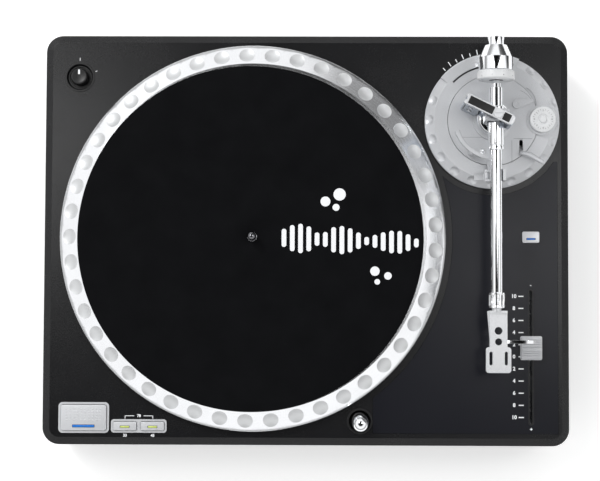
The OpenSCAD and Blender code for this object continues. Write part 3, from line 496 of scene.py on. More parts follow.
def brushed(name, rgb, rough, stretch=(0.03, 1, 1)):
    """Metal with a straight fine grain."""
    s = Surface(name, metallic=1.0)
    grain = s.noise(2600, 3, stretch)
    s.colour(s.blend(grain, s.noise(40, 3), 0.4), shades(rgb, 0.06))
    s.roughness(grain, rough * 0.8, rough * 1.3)
    return s.bump(grain, 0.004 * MM).material


def pearl(name, rgb, rough):
    """Silver paint over plastic: fine metal flakes below a clear coat."""
    s = Surface(name, metallic=0.35, Coat_Weight=0.35, Coat_Roughness=0.12)
    flakes = s.cells(5200)
    s.colour(s.blend(flakes, s.noise(16, 3), 0.35), shades(rgb, 0.07))
    s.roughness(s.blend(flakes, s.noise(30, 4), 0.5), rough * 0.85, rough * 1.2)
    return s.bump(s.noise(1800, 2), 0.004 * MM).material


def printed(name, rgb, rough=0.45):
    """Screen-printed ink, also used for painted shade in grooves and a slot: thin, slightly uneven cover."""
    s = Surface(name)
    s.colour(s.noise(2500, 3), shades(rgb, 0.08))
    s.roughness(s.noise(700, 3), rough * 0.8, rough * 1.2)
    return s.bump(s.noise(3000, 2), 0.006 * MM).material


def lens(name, rgb, power):
    """A lit indicator behind a clear lens."""
    s = Surface(name, Coat_Weight=0.6, Coat_Roughness=0.06, Emission_Color=(*rgb, 1), Emission_Strength=power)
    s.colour(s.noise(600, 3), shades(rgb, 0.2))
    s.roughness(s.noise(500, 2), 0.15, 0.3)
    return s.bump(s.noise(1200, 2), 0.01 * MM).material


def felt():
    """Pressed black felt: matted fibres, faint pilling and a soft sheen."""
    s = Surface("felt", Sheen_Weight=0.02, Sheen_Roughness=0.5, Specular_IOR_Level=0.06)
    fibres = s.blend(s.noise(2400, 6, (1, 0.35, 1)), s.noise(2400, 6, (0.35, 1, 1)), 0.5)
    s.colour(s.blend(fibres, s.noise(45, 5), 0.35),
             [(0.32, (0.0022, 0.0023, 0.0028)), (0.6, (0.0048, 0.0050, 0.0058)),
              (0.85, (0.011, 0.011, 0.012))])
    s.roughness(fibres, 0.85, 1.0)
    s.bump(fibres, 0.14 * MM, 0.8)
    return s.bump(s.noise(120, 3), 0.12 * MM, 0.6).material


def board_green():
    """Circuit board: solder mask with lighter tracks below it."""
    s = Surface("board_green", Coat_Weight=0.3, Coat_Roughness=0.2)
    tracks = s.node("ShaderNodeTexBrick", Vector=s.place, Scale=160.0).outputs["Fac"]
    s.colour(s.blend(tracks, s.noise(300, 3), 0.45),
             [(0.25, (0.008, 0.09, 0.04)), (0.55, (0.012, 0.13, 0.06)), (0.9, (0.05, 0.26, 0.12))])
    s.roughness(s.noise(250, 3), 0.3, 0.45)
    return s.bump(tracks, 0.05 * MM).material


def winding():
    """Enamelled wire laid in turns."""
    s = Surface("winding", metallic=0.85, Coat_Weight=0.4, Coat_Roughness=0.15)
    turns = s.node("ShaderNodeTexWave", Vector=s.place, Scale=900.0, Distortion=0.6, bands_direction="Z")
    s.colour(turns.outputs["Fac"], [(0.2, (0.28, 0.09, 0.03)), (0.8, (0.7, 0.3, 0.12))])
    s.roughness(s.noise(500, 3), 0.25, 0.4)
    return s.bump(turns.outputs["Fac"], 0.12 * MM).material


def sintered():
    """Oil-soaked sintered bronze with open pores."""
    s = Surface("sintered", metallic=0.9)
    pores = s.cells(2600)
    s.colour(pores, [(0.1, (0.16, 0.09, 0.03)), (0.4, (0.52, 0.34, 0.14)), (0.9, (0.6, 0.42, 0.2))])
    s.roughness(s.noise(300, 4), 0.38, 0.6)
    return s.bump(pores, 0.05 * MM).material


def ferrite():
    """Pressed magnet: dull, dark and gritty."""
    s = Surface("ferrite")
    s.colour(s.noise(900, 6), shades((0.045, 0.045, 0.05), 0.35))
    s.roughness(s.noise(400, 4), 0.6, 0.85)
    return s.bump(s.noise(1500, 5), 0.05 * MM).material


def rubber():
    """Dull rubber with a fine mould texture and dusty bloom."""
    s = Surface("rubber", Specular_IOR_Level=0.35)
    s.colour(s.noise(70, 5), [(0.3, (0.012, 0.012, 0.012)), (0.75, (0.03, 0.03, 0.031))])
    s.roughness(s.noise(200, 4), 0.7, 0.9)
    return s.bump(s.noise(1400, 4), 0.05 * MM).material


CASE = moulded("case_plastic", (0.0052, 0.0053, 0.0062), 0.26, grain=0.5 * MM, depth=0.006 * MM)
PANEL = moulded("panel_plastic", (0.0095, 0.0100, 0.0135), 0.24, grain=0.8 * MM, depth=0.003 * MM,
                Specular_IOR_Level=0.27)
BLACK = moulded("black_plastic", (0.006, 0.006, 0.0065), 0.36)
GREY = moulded("grey_plastic", (0.06, 0.06, 0.066), 0.42)
RUBBER = rubber()
STEEL = plated("zinc_steel", (0.52, 0.53, 0.55), 0.24, spread=0.14)
BRONZE = sintered()
BOARD = board_green()
COPPER = winding()
MAGNET = ferrite()
CHROME = plated("chrome", (0.80, 0.81, 0.83), 0.07)
DARK_CHROME = plated("dark_chrome", (0.30, 0.30, 0.32), 0.12)
ARM_METAL = plated("arm_metal", (0.83, 0.84, 0.86), 0.10)
SATIN = brushed("satin_metal", (0.66, 0.67, 0.70), 0.30)
SHELL_METAL = pearl("shell_metal", (0.66, 0.67, 0.69), 0.28)
PEARL = pearl("silver_paint", (0.56, 0.57, 0.59), 0.32)
KEY = pearl("key_finish", (0.66, 0.67, 0.69), 0.34)
FRAME = pearl("frame_metal", (0.74, 0.75, 0.77), 0.22)
LEG = brushed("leg_metal", (0.50, 0.54, 0.60), 0.30, (1, 1, 0.04))
DIAL = moulded("dial_plastic", (0.68, 0.69, 0.70), 0.28, spread=0.03, Coat_Weight=0.2)
GOLD = plated("gold_plate", (0.83, 0.60, 0.24), 0.16)
FELT = felt()
CAST = machined("platter_metal", (0.80, 0.81, 0.83), 0.20, PLATTER)
DIMPLE = moulded("dimple_finish", (0.62, 0.63, 0.64), 0.42, grain=0.3 * MM, spread=0.04, Metallic=0.55)
TURNED_ARM = machined("turned_chrome", (0.82, 0.83, 0.85), 0.09, PIVOT, "XZ", 900)
INK = printed("white_ink", (0.85, 0.86, 0.88))
# Painted shade: grey that stands for the shade inside the engraved grooves on the arm's base plate
PAINTED_GROOVE_SHADE = printed("painted_groove_shade", (0.22, 0.23, 0.25))
# Black print for the dials' marks, also used as painted shade in the height ring's arc slot
BLACK_INK_AND_SLOT_SHADE = printed("black_ink_and_slot_shade", (0.015, 0.015, 0.017))
BLUE = lens("blue_lens", (0.01, 0.10, 0.36), 0.8)
GREEN = lens("green_lens", (0.36, 0.42, 0.10), 0.8)
RED = moulded("red_insert", (0.5, 0.02, 0.02), 0.35)
WHITE = moulded("white_insert", (0.7, 0.7, 0.7), 0.35)

SLOT_MATERIALS = {
    "case_plastic": CASE, "panel_plastic": PANEL, "black_plastic": BLACK, "rubber": RUBBER, "steel": STEEL,
    "bronze": BRONZE, "circuit_board": BOARD, "copper": COPPER, "magnet": MAGNET, "platter_metal": CAST,
    "felt": FELT, "chrome": CHROME, "arm_metal": ARM_METAL, "silver_plastic": PEARL, "dial_plastic": DIAL,
    "button_metal": SATIN, "gold": GOLD}
OWN_MATERIALS = {"headshell": SHELL_METAL, "finger_lift": CHROME, "fader_knob": PEARL, "start_bezel": KEY,
                 "speed_bezel": KEY, "pivot_screw": FRAME}

# How far each CAD node's edges are rounded, in millimetres
PLAIN_EDGE = 0.1
EDGES = {
    "top_cover": 0.5, "base_tray": 0.4, "control_panel": 0.15, "gimbal_bridge": 0.35, "gimbal_yoke": 0.3,
    "headshell": 0.3, "arm_rest": 0.5, "rest_clip": 0.3, "fader_knob": 0.15, "arm_base": 0.25,
    "foot_housings": 0.4, "foot_pads": 0.3, "locking_collar": 0.0, "start_bezel": 0.2, "speed_bezel": 0.2,
    "lamp_collar": 0.2, "power_trim": 0.2, "height_ring": 0.3, "mains_inlet": 0.3, "line_switch": 0.3,
    "audio_jacks": 0.2, "ground_post": 0.3}
for name in NODES:
    soften(name, EDGES.get(name, PLAIN_EDGE) * MM, OWN_MATERIALS.get(name, SLOT_MATERIALS[SLOT_OF[name]]))


# ---------------- platter, mat and spindle

def platter_shape():
    """The cast platter: dimples pressed into its sloping rim, each in its own eight-degree cell."""
    dimples, side = 45, 8                                   # side: steps along each side of a cell
    flat_r, edge_r, outer_r = 148.2 * MM, 163.6 * MM, 165 * MM
    top, edge_z, rim_z = PLATTER_TOP, 95.2 * MM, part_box("platter")[0].z
    under, hub_r, hub_z = top - 5 * MM, 14 * MM, 92 * MM
    ball_r, depth = 19 * MM, 1.2 * MM                       # the ball that would press a dimple
    slope = Vector((edge_r - flat_r, edge_z - top))
    length = slope.length
    along = slope / length
    inward = Vector((along.y, -along.x))
    middle = Vector(((flat_r + edge_r) / 2, (top + edge_z) / 2))
    lip_r = sqrt(ball_r ** 2 - (ball_r - depth) ** 2)
    half_cell = pi / dimples
    corners = [(-length / 2, -half_cell), (-length / 2, half_cell), (length / 2, half_cell),
               (length / 2, -half_cell)]
    edge = []
    for (s0, a0), (s1, a1) in zip(corners, corners[1:] + corners[:1]):
        edge += [(s0 + (s1 - s0) * k / side, a0 + (a1 - a0) * k / side) for k in range(side)]

    def on_cone(s, angle, sink=0.0):
        p = middle + along * s + inward * sink
        return Vector((PLATTER.x + p.x * cos(angle), PLATTER.y + p.x * sin(angle), p.y))

    shape = Shape()
    count = len(edge)
    for cell in range(dimples):
        turn = (cell + 0.5) * tau / dimples

        def unrolled(s, t, share):
            """The point at this share of the way out from the cell's middle, back on the cone."""
            return s * share, turn + t * share / (middle.x + along.x * s * share)

        flat = [(s, a * (middle.x + along.x * s)) for s, a in edge]
        lips = [lip_r / hypot(s, t) for s, t in flat]
        rows = [[on_cone(s, turn + a) for s, a in edge]]
        for share in (0.5, 0.04):                           # from the cell's edge in to the dimple's lip
            rows.append([on_cone(*unrolled(s, t, share + (1 - share) * lip))
                         for (s, t), lip in zip(flat, lips)])
        outside = len(rows) + 1
        for scale in (1.0, 0.97, 0.85, 0.66, 0.44, 0.22):   # from the lip down into the bowl
            sink = sqrt(ball_r ** 2 - (lip_r * scale) ** 2) - (ball_r - depth)
            rows.append([on_cone(*unrolled(s, t, lip * scale), sink) for (s, t), lip in zip(flat, lips)])
        points = [p for row in rows for p in row] + [on_cone(0, turn, depth)]
        shape.add(points, strips(outside, count), 0)
        bowl = strips(len(rows), count, outside - 1)
        shape.add(points, bowl + fan((len(rows) - 1) * count, len(points) - 1, count), 1)
    body = [(flat_r, top), (SHAFT_R, top), (SHAFT_R, hub_z), (hub_r, hub_z), (hub_r, under),
            (140.2 * MM, under), (152.2 * MM, rim_z), (164.4 * MM, rim_z), (outer_r, rim_z + 0.6 * MM),
            (outer_r, rim_z + 2.6 * MM), (164.7 * MM, rim_z + 3.2 * MM), (edge_r, edge_z)]
    return shape.join(lathe(body, dimples * side, at(PLATTER.x, PLATTER.y)))


piece("platter_casting", platter_shape(), [CAST, DIMPLE], "platter", crease=20, merge=2e-6)

INK_STANDS = 0.04 * MM
PIN_R = 3.58 * MM           # the part of the spindle that enters a record's hole
mat_low, mat_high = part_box("slipmat")
mat_middle = centre("slipmat")
mat_r = (mat_high.x - mat_low.x) / 2


def mat_shape():
    """A felt disc that lies flat, with a soft edge and a faintly uneven top."""
    turns, rings = 240, 24
    hole = SHAFT_R + 0.3 * MM
    top, low = mat_high.z, mat_low.z
    between = [hole + (mat_r - hole) * k / rings for k in range(2, rings)]
    section = [(hole, low), (hole, top - 0.6 * MM)]
    section += [(r, top - 0.15 * MM) for r in [hole + 0.5 * MM] + between + [mat_r - 0.8 * MM]]
    section += [(mat_r - 0.25 * MM, top - 0.5 * MM), (mat_r, top - 1.1 * MM), (mat_r, low + 0.4 * MM),
                (mat_r - 0.4 * MM, low)]
    offset = Vector((PLATTER.x - mat_middle.x, PLATTER.y - mat_middle.y, 0))
    swell, waves = 0.15 * MM, 55
    shape = lathe(section, turns, loop=True)
    for p in shape.points:
        share = 1 - min(1.0, hypot(p.x, p.y) / mat_r)
        lift = swell * noise.noise(Vector((p.x * waves, p.y * waves, 3.1)))
        if p.z > top - 0.3 * MM:
            p.z += lift
        p.x += mat_middle.x + offset.x * share
        p.y += mat_middle.y + offset.y * share
    return shape


mat = piece("felt_mat", mat_shape(), [FELT], "slipmat", crease=60)


def mat_print():
    """A made-up printed motif: a row of rounded bars like a level meter, with three dots on each side."""
    bars, first, pitch, width, corner = 17, 27, 7, 4 * MM, 1.9 * MM
    dots = ((62, 30, 4.2), (74, 36, 5.2), (71, 25, 3.0), (104, -29, 4.0), (115, -33, 3.2), (106, -38, 2.4))
    rings = edge_rings(MAT_TOP - 0.2 * MM, MAT_TOP + INK_STANDS)
    shape = Shape()
    for k in range(bars):
        height = (6 + 22 * abs(sin(0.55 * k + 0.7)) * (0.5 + 0.5 * sin(0.23 * k + 0.6) ** 2)) * MM
        x, y = PLATTER.x + (first + pitch * k) * MM, PLATTER.y - (1 + 0.25 * k) * MM
        shape.join(prism(rounded_box(width, height, corner, x, y), rings))
    for x, y, r in dots:
        shape.join(prism(circle(r * MM, 36, PLATTER.x + x * MM, PLATTER.y + y * MM), rings))
    return shape


piece("mat_print", mat_print(), [INK], body="rotor")

spin_low, spin_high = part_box("spindle")
pin_top = spin_high.z
piece("spindle_pin", turned([
    (0, spin_low.z), (SHAFT_R - 0.5 * MM, spin_low.z), (SHAFT_R, spin_low.z + 0.5 * MM), (SHAFT_R, MAT_TOP),
    (PIN_R, MAT_TOP), (PIN_R, pin_top - 3.6 * MM), (2.9 * MM, pin_top - 1.4 * MM),
    (1.5 * MM, pin_top - 0.2 * MM), (0, pin_top)], 0.35 * MM, 64, at(PLATTER.x, PLATTER.y)),
    [DARK_CHROME], "spindle")


# ---------------- the arm

def arm_part(name, node, profile, material, radius=0.3 * MM, turns=64, loop=False):
    """A piece turned about the arm's centreline; profile heights are millimetres behind the pivot."""
    return piece(name, turned(mm(*profile), radius, turns, along_y(), loop), [material], node)


arm_part("tube", "arm_tube", [
    (3.65, -160.4), (4.85, -160.4), (4.85, -8), (3.65, -8)], ARM_METAL, 0.2 * MM, 64, True)

sleeve = turned(mm((4.85, -28.5), (6.3, -28.5), (6.6, -28.2), (6.6, -25.6), (6.25, -25.4), (6.25, -24.6),
                   (6.6, -24.4), (6.6, 8), (5.4, 8.4), (5.4, 24), (4, 24.2), (4, 57.6), (3.6, 58), (0, 58),
                   (0, -8), (4.85, -8)), 0.15 * MM, 64, along_y(), True)
sleeve.join(turned(mm((0, -9.8), (1.5, -9.8), (1.5, 9.8), (0, 9.8)), 0.1 * MM, 24,
                   at(*PIVOT) @ spun(QUARTER, "Y")))
piece("pivot_sleeve", sleeve, [TURNED_ARM], "arm_sleeve")


def grip_shape():
    """The locking collar: a sleeve with straight grooves along its middle, for the fingers to grip."""
    grooves, fine = 24, 8
    turns = grooves * fine
    inner, outer, y0, y1, edge, run_in, depth = 4.9, 6.8, -160.4, -147.3, 0.4, 2.0, 0.4
    rows = [(inner, y0, 0), (outer - edge, y0, 0), (outer, y0 + edge, 0), (outer, y0 + run_in, 0),
            (outer, y0 + run_in + edge, depth), (outer, y1 - run_in - edge, depth), (outer, y1 - run_in, 0),
            (outer, y1 - edge, 0), (outer - edge, y1, 0), (inner, y1, 0)]
    points = ridged(rows, turns, lambda i: max(0.0, cos(tau * i / fine)) ** 1.5)
    faces = strips(len(rows), turns) + strip((len(rows) - 1) * turns, 0, turns)
    return Shape().add(points, faces, 0, along_y())


piece("grip_collar", grip_shape(), [ARM_METAL], "locking_collar")

arm_part("carrier_sleeve", "weight_sleeve", [
    (4.05, 30.3), (6, 30.3), (6, 58.6), (4.05, 58.6)], BLACK, 0.2 * MM, 48, True)
arm_part("balance_weight", "counterweight", [
    (6.05, 38), (8, 38), (8, 54.5), (8.6, 54.5), (11.6, 49), (11.6, 38), (13.4, 38), (14, 38.6), (14, 49.4),
    (9.2, 59.6), (6.05, 59.6)], TURNED_ARM, 0.35 * MM, 96, True)
arm_part("weight_end_cap", "weight_cap", [
    (0, 65.8), (5, 65.8), (5, 59.6), (6.9, 59.6), (6.9, 66.4), (6.2, 67.2), (0, 67.2)], TURNED_ARM, 0.4 * MM)
arm_part("force_ring", "force_dial", [
    (6.05, 30.3), (10, 30.3), (11, 31.1), (14.7, 30.3), (15.7, 31.3), (15.7, 37.1), (15.1, 37.7),
    (6.05, 37.7)], DIAL, 0.3 * MM, 120, True)


def force_marks():
    """Grams on the dial's rim: a tick every quarter gram, a longer one with its number every gram."""
    steps, per_gram = 40, 4
    radius, front, back = 15.7 * MM, 31.9 * MM, 37.0 * MM
    outward = spun(QUARTER, "Y")
    shape = Shape()
    for k in range(steps):
        spin = along_y() @ spun(tau * k / steps)
        whole = k % per_gram == 0
        reach = 2.0 * MM if whole else 1.1 * MM
        tick = prism(rounded_box(0.07 * MM, reach, 0.03 * MM, steps=1), [(0, -0.1 * MM), (0, 0.02 * MM)])
        shape.join(tick, spin @ at(radius, 0, back - reach / 2) @ outward @ spun(-QUARTER))
        if whole:
            face = spin @ at(radius, 0, front + 0.9 * MM) @ outward @ spun(QUARTER)
            shape.join(letters(str(k // per_gram), 1.7 * MM, 0.04 * MM, face))
    return shape


piece("force_marks", force_marks(), [BLACK_INK_AND_SLOT_SHADE], body="gram_dial")


# ---------------- bridge, pillar and dials

piece("pivot_pillar", turned(mm(
    (0, 99), (14.5, 99), (14.5, 110.8), (13.9, 113.2), (12.4, 114.6), (9.5, 115), (2.6, 115), (2.55, 103),
    (0, 103)), 0.8 * MM, 96, at(PIVOT.x, PIVOT.y)), [CHROME], "pillar")

BRIDGE_TURN = at(PIVOT.x, PIVOT.y) @ spun(radians(-26))
BRIDGE_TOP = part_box("gimbal_bridge")[1].z
BRIDGE_LOW = BRIDGE_TOP - 5 * MM
PLATE_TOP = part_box("gimbal_bridge")[0].z


def bridge_slab(x0, x1, depth, corner, rings, **more):
    """A rounded slab on the bridge's centreline, in the bridge's own directions; sizes are millimetres."""
    outline = rounded_box((x1 - x0) * MM, depth * MM, corner * MM, (x0 + x1) / 2 * MM)
    return prism(outline, rings, place=BRIDGE_TURN, **more)


def bridge_shape():
    """The bridge over the pivot: a framed bar with a round right end, a wide left leg and a thin one."""
    left, right, half = -29.8, 14.7, 4.3
    outline = rounded(mm((left, -half, 0.8), (right, -half, half), (right, half, half), (left, half, 0.8),
                         (left, 1.6, 0.4), (left + 1.2, 1.2, 0.4), (left + 1.2, -1.2, 0.4),
                         (left, -1.6, 0.4)), 0.5 * MM, 8)
    shape = prism(outline, edge_rings(BRIDGE_LOW, BRIDGE_TOP - 0.5 * MM, 0.3 * MM), place=BRIDGE_TURN)
    frame_rings = [(0, BRIDGE_TOP - 0.7 * MM), (0, BRIDGE_TOP - 0.25 * MM), (0.25 * MM, BRIDGE_TOP)]
    for x0, x1 in ((left + 3.0, -4.4), (4.4, right - 3.6)):
        window = rounded_box((x1 - x0) * MM, (2 * half - 1.9) * MM, 0.6 * MM, (x0 + x1) / 2 * MM)
        shape.join(bridge_slab(x0 - 0.95, x1 + 0.95, 2 * half - 0.1, 1.3, frame_rings, holes=[window]))
    leg_d = 2 * half - 0.8
    for x0, x1, corner, low in ((left + 0.3, left + 14.9, 1.2, PLATE_TOP),
                                (right - 2.8, right - 0.2, 0.8, PLATE_TOP + 14.2 * MM)):
        rings = edge_rings(low, BRIDGE_LOW + 0.5 * MM, 0.2 * MM)
        shape.join(bridge_slab(x0, x1, leg_d, corner, rings, number=1))
    return shape


piece("pivot_bridge", bridge_shape(), [FRAME, LEG], "gimbal_bridge")
LEG_FACE = BRIDGE_TURN @ at(0, -3.9 * MM) @ spun(QUARTER, "X")
LEG_SCREW_X, LEG_SCREWS = -22.4, (133, 117)


def bridge_details():
    """Dark inlays in the bar's two windows, the leg's slot and the washers below its screws."""
    shape = Shape()
    for x0, x1 in ((-26.6, -4.5), (4.5, 11.0)):
        rings = edge_rings(BRIDGE_TOP - 0.6 * MM, BRIDGE_TOP - 0.3 * MM, 0, 0.1 * MM)
        shape.join(bridge_slab(x0, x1, 6.6, 0.6, rings))
    for x, z, w, h in [(-27.6, 124, 0.9, 26)] + [(LEG_SCREW_X, z, 5.0, 5.0) for z in LEG_SCREWS]:
        shape.join(prism(rounded_box(w * MM, h * MM, 0.45 * w * MM, x * MM, z * MM),
                         edge_rings(-0.4 * MM, 0.12 * MM, 0, 0.1 * MM)), LEG_FACE)
    return shape


piece("bridge_inlay", bridge_details(), [BLACK], body="arm_mount")
screws = Shape()
for z in LEG_SCREWS:
    screws.join(turned(mm((0, 0), (1.7, 0), (1.7, 0.5), (1.2, 0.8), (0, 0.8)), 0.15 * MM, 32,
                       LEG_FACE @ at(LEG_SCREW_X * MM, z * MM)))
piece("leg_screws", screws, [CHROME], body="arm_mount")

RING_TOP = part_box("height_ring")[1].z
# Painted shade: a black strip sunk in the height ring's arc slot, standing for the dark shade inside the slit
piece("ring_slot_shade", sector(46.4, 47.6, 105, 135.6, RING_TOP - 1.1 * MM, RING_TOP - 0.15 * MM, PIVOT),
      [BLACK_INK_AND_SLOT_SHADE], body="ring_nut")


def plate_lines():
    """Grey strips of painted shade for the fine engraved grooves on the arm's base plate: the cue lever's panel,
    the lock's and the rest's arcs.
    """
    z0, z1, width = PLATE_TOP - 0.2 * MM, PLATE_TOP + 0.02 * MM, 0.32 * MM
    lock = joint_at("lock_turn")
    shape = Shape()
    for x0, y0, x1, y1 in mm((16, -36, 16, -17), (17.5, -15.5, 33, -15.5), (-28, -14.5, -9, -14.5)):
        shape.join(bar(PIVOT.x + x0, PIVOT.y + y0, PIVOT.x + x1, PIVOT.y + y1, width, z0, z1))
    for inner, a0, a1, middle in ((33.6, 196, 252, PIVOT), (29.6, 196, 240, PIVOT), (16.2, 300, 420, lock),
                                  (19.0, 20, 68, lock - Vector((4, 6, 0)) * MM)):
        shape.join(sector(inner, inner + 0.3, a0, a1, z0, z1, middle))
    return shape


piece("plate_lines", plate_lines(), [PAINTED_GROOVE_SHADE], body="arm_mount")
base_screw = turned(mm((0, 0), (2.4, 0), (2.4, 0.5), (1.8, 0.9), (0.7, 0.9), (0.6, 0.3), (0, 0.3)), 0.15 * MM,
                    40, at(PIVOT.x - 9 * MM, PIVOT.y - 26.6 * MM, PLATE_TOP - 0.1 * MM))
piece("base_screw", base_screw, [CHROME], body="arm_mount")

skate = joint_at("skate_turn")
skate_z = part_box("antiskate_dial")[0].z


def skate_shape():
    """The anti-skate dial: a ridged rim round a dished top with a raised hub, hollow below for its post."""
    ridges, fine = 60, 4
    turns = ridges * fine
    hollow, roof, tip = 2.05, 4.9, 6.2
    rows = [(hollow, 0, 0), (10.6, 0, 0), (11, 0.4, 0.16), (11, 4.2, 0.16), (10.7, 4.9, 0), (9.6, 5.3, 0),
            (8.9, 5.15, 0), (4.6, 5.5, 0), (4.3, 4.9, 0), (3.4, 4.9, 0), (3.1, 5.6, 0), (2.6, tip, 0)]
    inner = len(rows) * turns
    points = ridged(rows + [(hollow, roof, 0)], turns, lambda i: i % fine == 0)
    points += mm((0, 0, tip), (0, 0, roof))
    faces = strips(len(rows), turns) + fan(inner - turns, len(points) - 2, turns)
    faces += strip(0, inner, turns) + fan(inner, len(points) - 1, turns)
    return Shape().add(points, faces, 0, at(skate.x, skate.y, skate_z))


def skate_scale():
    """Numbers and ticks round the anti-skate dial's top."""
    steps, per_number = 24, 3
    shape = Shape()
    for k in range(steps):
        spin = at(skate.x, skate.y, skate_z + 5.35 * MM) @ spun(tau * k / steps)
        if k % per_number:
            tick = rounded_box(1.3 * MM, 0.22 * MM, 0.1 * MM, 8.2 * MM, steps=1)
            shape.join(prism(tick, [(0, -0.4 * MM), (0, 0.06 * MM)]), spin)
        else:
            face = spin @ at(7.4 * MM, 0, 0.04 * MM) @ spun(-QUARTER)
            shape.join(letters(str(k // per_number), 2.1 * MM, 0.06 * MM, face))
    return shape


piece("skate_knob", skate_shape(), [DIAL], "antiskate_dial")
piece("skate_marks", skate_scale(), [BLACK_INK_AND_SLOT_SHADE], body="skate_dial")


# ---------------- controls

power = centre("power_knob")


def knob_shape():
    """The power dial: a fluted skirt, a slightly domed cap and a stem."""
    flutes, fine = 30, 6
    turns = flutes * fine
    rows = [(3, -17, 0), (3, -4, 0), (6.6, -4, 0), (6.95, -3.6, 0), (6.95, 0.6, 0), (6.9, 0.9, 0.22),
            (6.9, 5.2, 0.22), (6.6, 6.0, 0.05), (6.1, 6.4, 0), (5.2, 6.45, 0), (4.9, 6.3, 0)]
    points = ridged(rows, turns, lambda i: max(0.0, cos(tau * i / fine)) ** 2) + mm((0, 0, 6.55), (0, 0, -17))
    faces = strips(len(rows), turns) + fan((len(rows) - 1) * turns, len(points) - 2, turns)
    return Shape().add(points, faces + fan(0, len(points) - 1, turns), 0, at(power.x, power.y, DECK))


piece("power_cap", knob_shape(), [BLACK], "power_knob")
piece("power_pointer", prism(rounded_box(1.7 * MM, 4.0 * MM, 0.5 * MM, power.x, power.y + 3.6 * MM),
                             edge_rings(DECK + 6.2 * MM, DECK + 6.58 * MM, 0, 0.05 * MM)),
      [INK], body="power_dial")


def button(name, node, corner, edge):
    """A push button: a crowned top with a soft edge, on its plunger."""
    low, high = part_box(node)
    x, y = centre(node).xy
    plunger_r, skirt = 2 * MM, DECK - 4.6 * MM
    shape = prism(rounded_box(high.x - low.x, high.y - low.y, corner, x, y, 10),
                  edge_rings(skirt, high.z, 0.3 * MM, edge, 5))
    plunger = [(0, low.z), (plunger_r, low.z), (plunger_r, skirt + 0.2 * MM), (0, skirt + 0.2 * MM)]
    return piece(name, shape.join(turned(plunger, 0.2 * MM, 32, at(x, y))), [KEY], node)


button("start_key_cap", "start_button", 2 * MM, 0.7 * MM)
button("key_cap_33", "button_33", 0.9 * MM, 0.5 * MM)
button("key_cap_45", "button_45", 0.9 * MM, 0.5 * MM)
button("quartz_key_cap", "quartz_button", 1.4 * MM, 0.6 * MM)


def lamp_bar(name, node, w, d, dy, material):
    """A lit window let into a button's top, dy behind its middle, in a thin dark frame; in millimetres."""
    x, y = centre(node).xy
    y, z = y + dy * MM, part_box(node)[1].z
    shape = prism(rounded_box((w + 0.9) * MM, (d + 0.7) * MM, 0.5 * MM, x, y, 4),
                  edge_rings(z - 0.6 * MM, z + 0.02 * MM), number=1)
    shape.join(prism(rounded_box(w * MM, d * MM, 0.4 * MM, x, y, 4),
                     edge_rings(z - 0.5 * MM, z + 0.12 * MM, 0, 0.1 * MM)))
    return piece(name, shape, [material, GREY], body=BODY_OF[node])


lamp_bar("start_light", "start_button", 18.4, 1.9, -7.1, BLUE)
lamp_bar("light_33", "button_33", 7.6, 1.3, -0.6, GREEN)
lamp_bar("light_45", "button_45", 7.6, 1.3, -0.6, GREEN)
lamp_bar("quartz_light", "quartz_button", 7.2, 1.1, -1.6, BLUE)


def stud_field():
    """Rows of small raised studs on the start button, behind its light."""
    columns, rows, pitch_x, pitch_y = 10, 5, 3.2, 2.45
    start, top = centre("start_button"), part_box("start_button")[1].z
    rings = edge_rings(top - 0.3 * MM, top + 0.3 * MM, 0, 0.25 * MM)
    shape = Shape()
    for column in range(columns):
        for row in range(rows):
            x, y = start.x + (column - 4.5) * pitch_x * MM, start.y + (row - 0.9) * pitch_y * MM
            shape.join(prism(rounded_box(2.0 * MM, 1.3 * MM, 0.6 * MM, x, y, 4), rings))
    return shape


piece("start_studs", stud_field(), [KEY], body="start_key")


# ---------------- stylus lamp

def lamp_shape():
    """The leaning stylus lamp: a bright cap whose top is shifted towards the front."""
    low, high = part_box("target_lamp")
    turns, radius = 72, 7.2 * MM
    lean, upright = Vector((1.0, -3.4)) * MM, 0.8             # full lean at this share of the height
    straight, dome = 0.62, 7.0                                # where the dome starts, and how far it closes
    base, rise = Vector((low.x + radius, high.y - radius)), high.z - low.z
    levels = [(0.0, -0.2)] + [(k / 8 * straight, 0.0) for k in range(9)]
    for k in range(1, 15):
        a = k / 14 * QUARTER
        levels.append((straight + (1 - straight) * sin(a), -dome * (1 - cos(a))))
    points = []
    for share, grow in levels:
        middle = base + lean * min(1.0, share / upright)
        loop = circle(radius + grow * MM, turns, middle.x, middle.y)
        points += [(p.x, p.y, low.z + share * rise) for p in loop]
    ends = [list(range(turns)), list(range(len(points) - turns, len(points)))]
    return Shape().add(points, strips(len(levels), turns) + ends)


piece("lamp_cap", lamp_shape(), [CHROME], "target_lamp", crease=40)


# ---------------- printing on the deck

def deck_marks():
    """Speed numerals below their buttons, the pair's bracket, the dial's mark and the height scale."""
    z0, z1 = DECK - 0.1 * MM, DECK + 0.03 * MM
    size, stroke, bold = 3.3 * MM, 0.55 * MM, 0.12 * MM
    a, b = centre("button_33"), centre("button_45")
    middle, y, z = (a.x + b.x) / 2, a.y + 8.6 * MM, (z0 + z1) / 2
    shape = Shape()
    for text, x, text_y in (("33", a.x, a.y - 8.1 * MM), ("45", b.x, b.y - 8.1 * MM), ("78", middle, y)):
        shape.join(letters(text, size, z1 - z0, at(x, text_y, z), bold))
    for side, end in ((-1, a.x), (1, b.x)):
        shape.join(bar(middle + side * 4 * MM, y, end, y, stroke, z0, z1))
        shape.join(bar(end, y + stroke / 2, end, y - 2.4 * MM, stroke, z0, z1))
    shape.join(ticks(power, 14.2, ((90, 16.8), (20, 15.8)), 0.5 * MM, z0, z1))
    heights = [(101.5 + 6 * k, 62.6 if k % 2 else 64.0) for k in range(6)]
    return shape.join(ticks(PIVOT, 59.6, heights, 0.8 * MM, z0, z1))


piece("deck_marks", deck_marks(), [INK], body="chassis")

PANEL_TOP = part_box("control_panel")[1].z


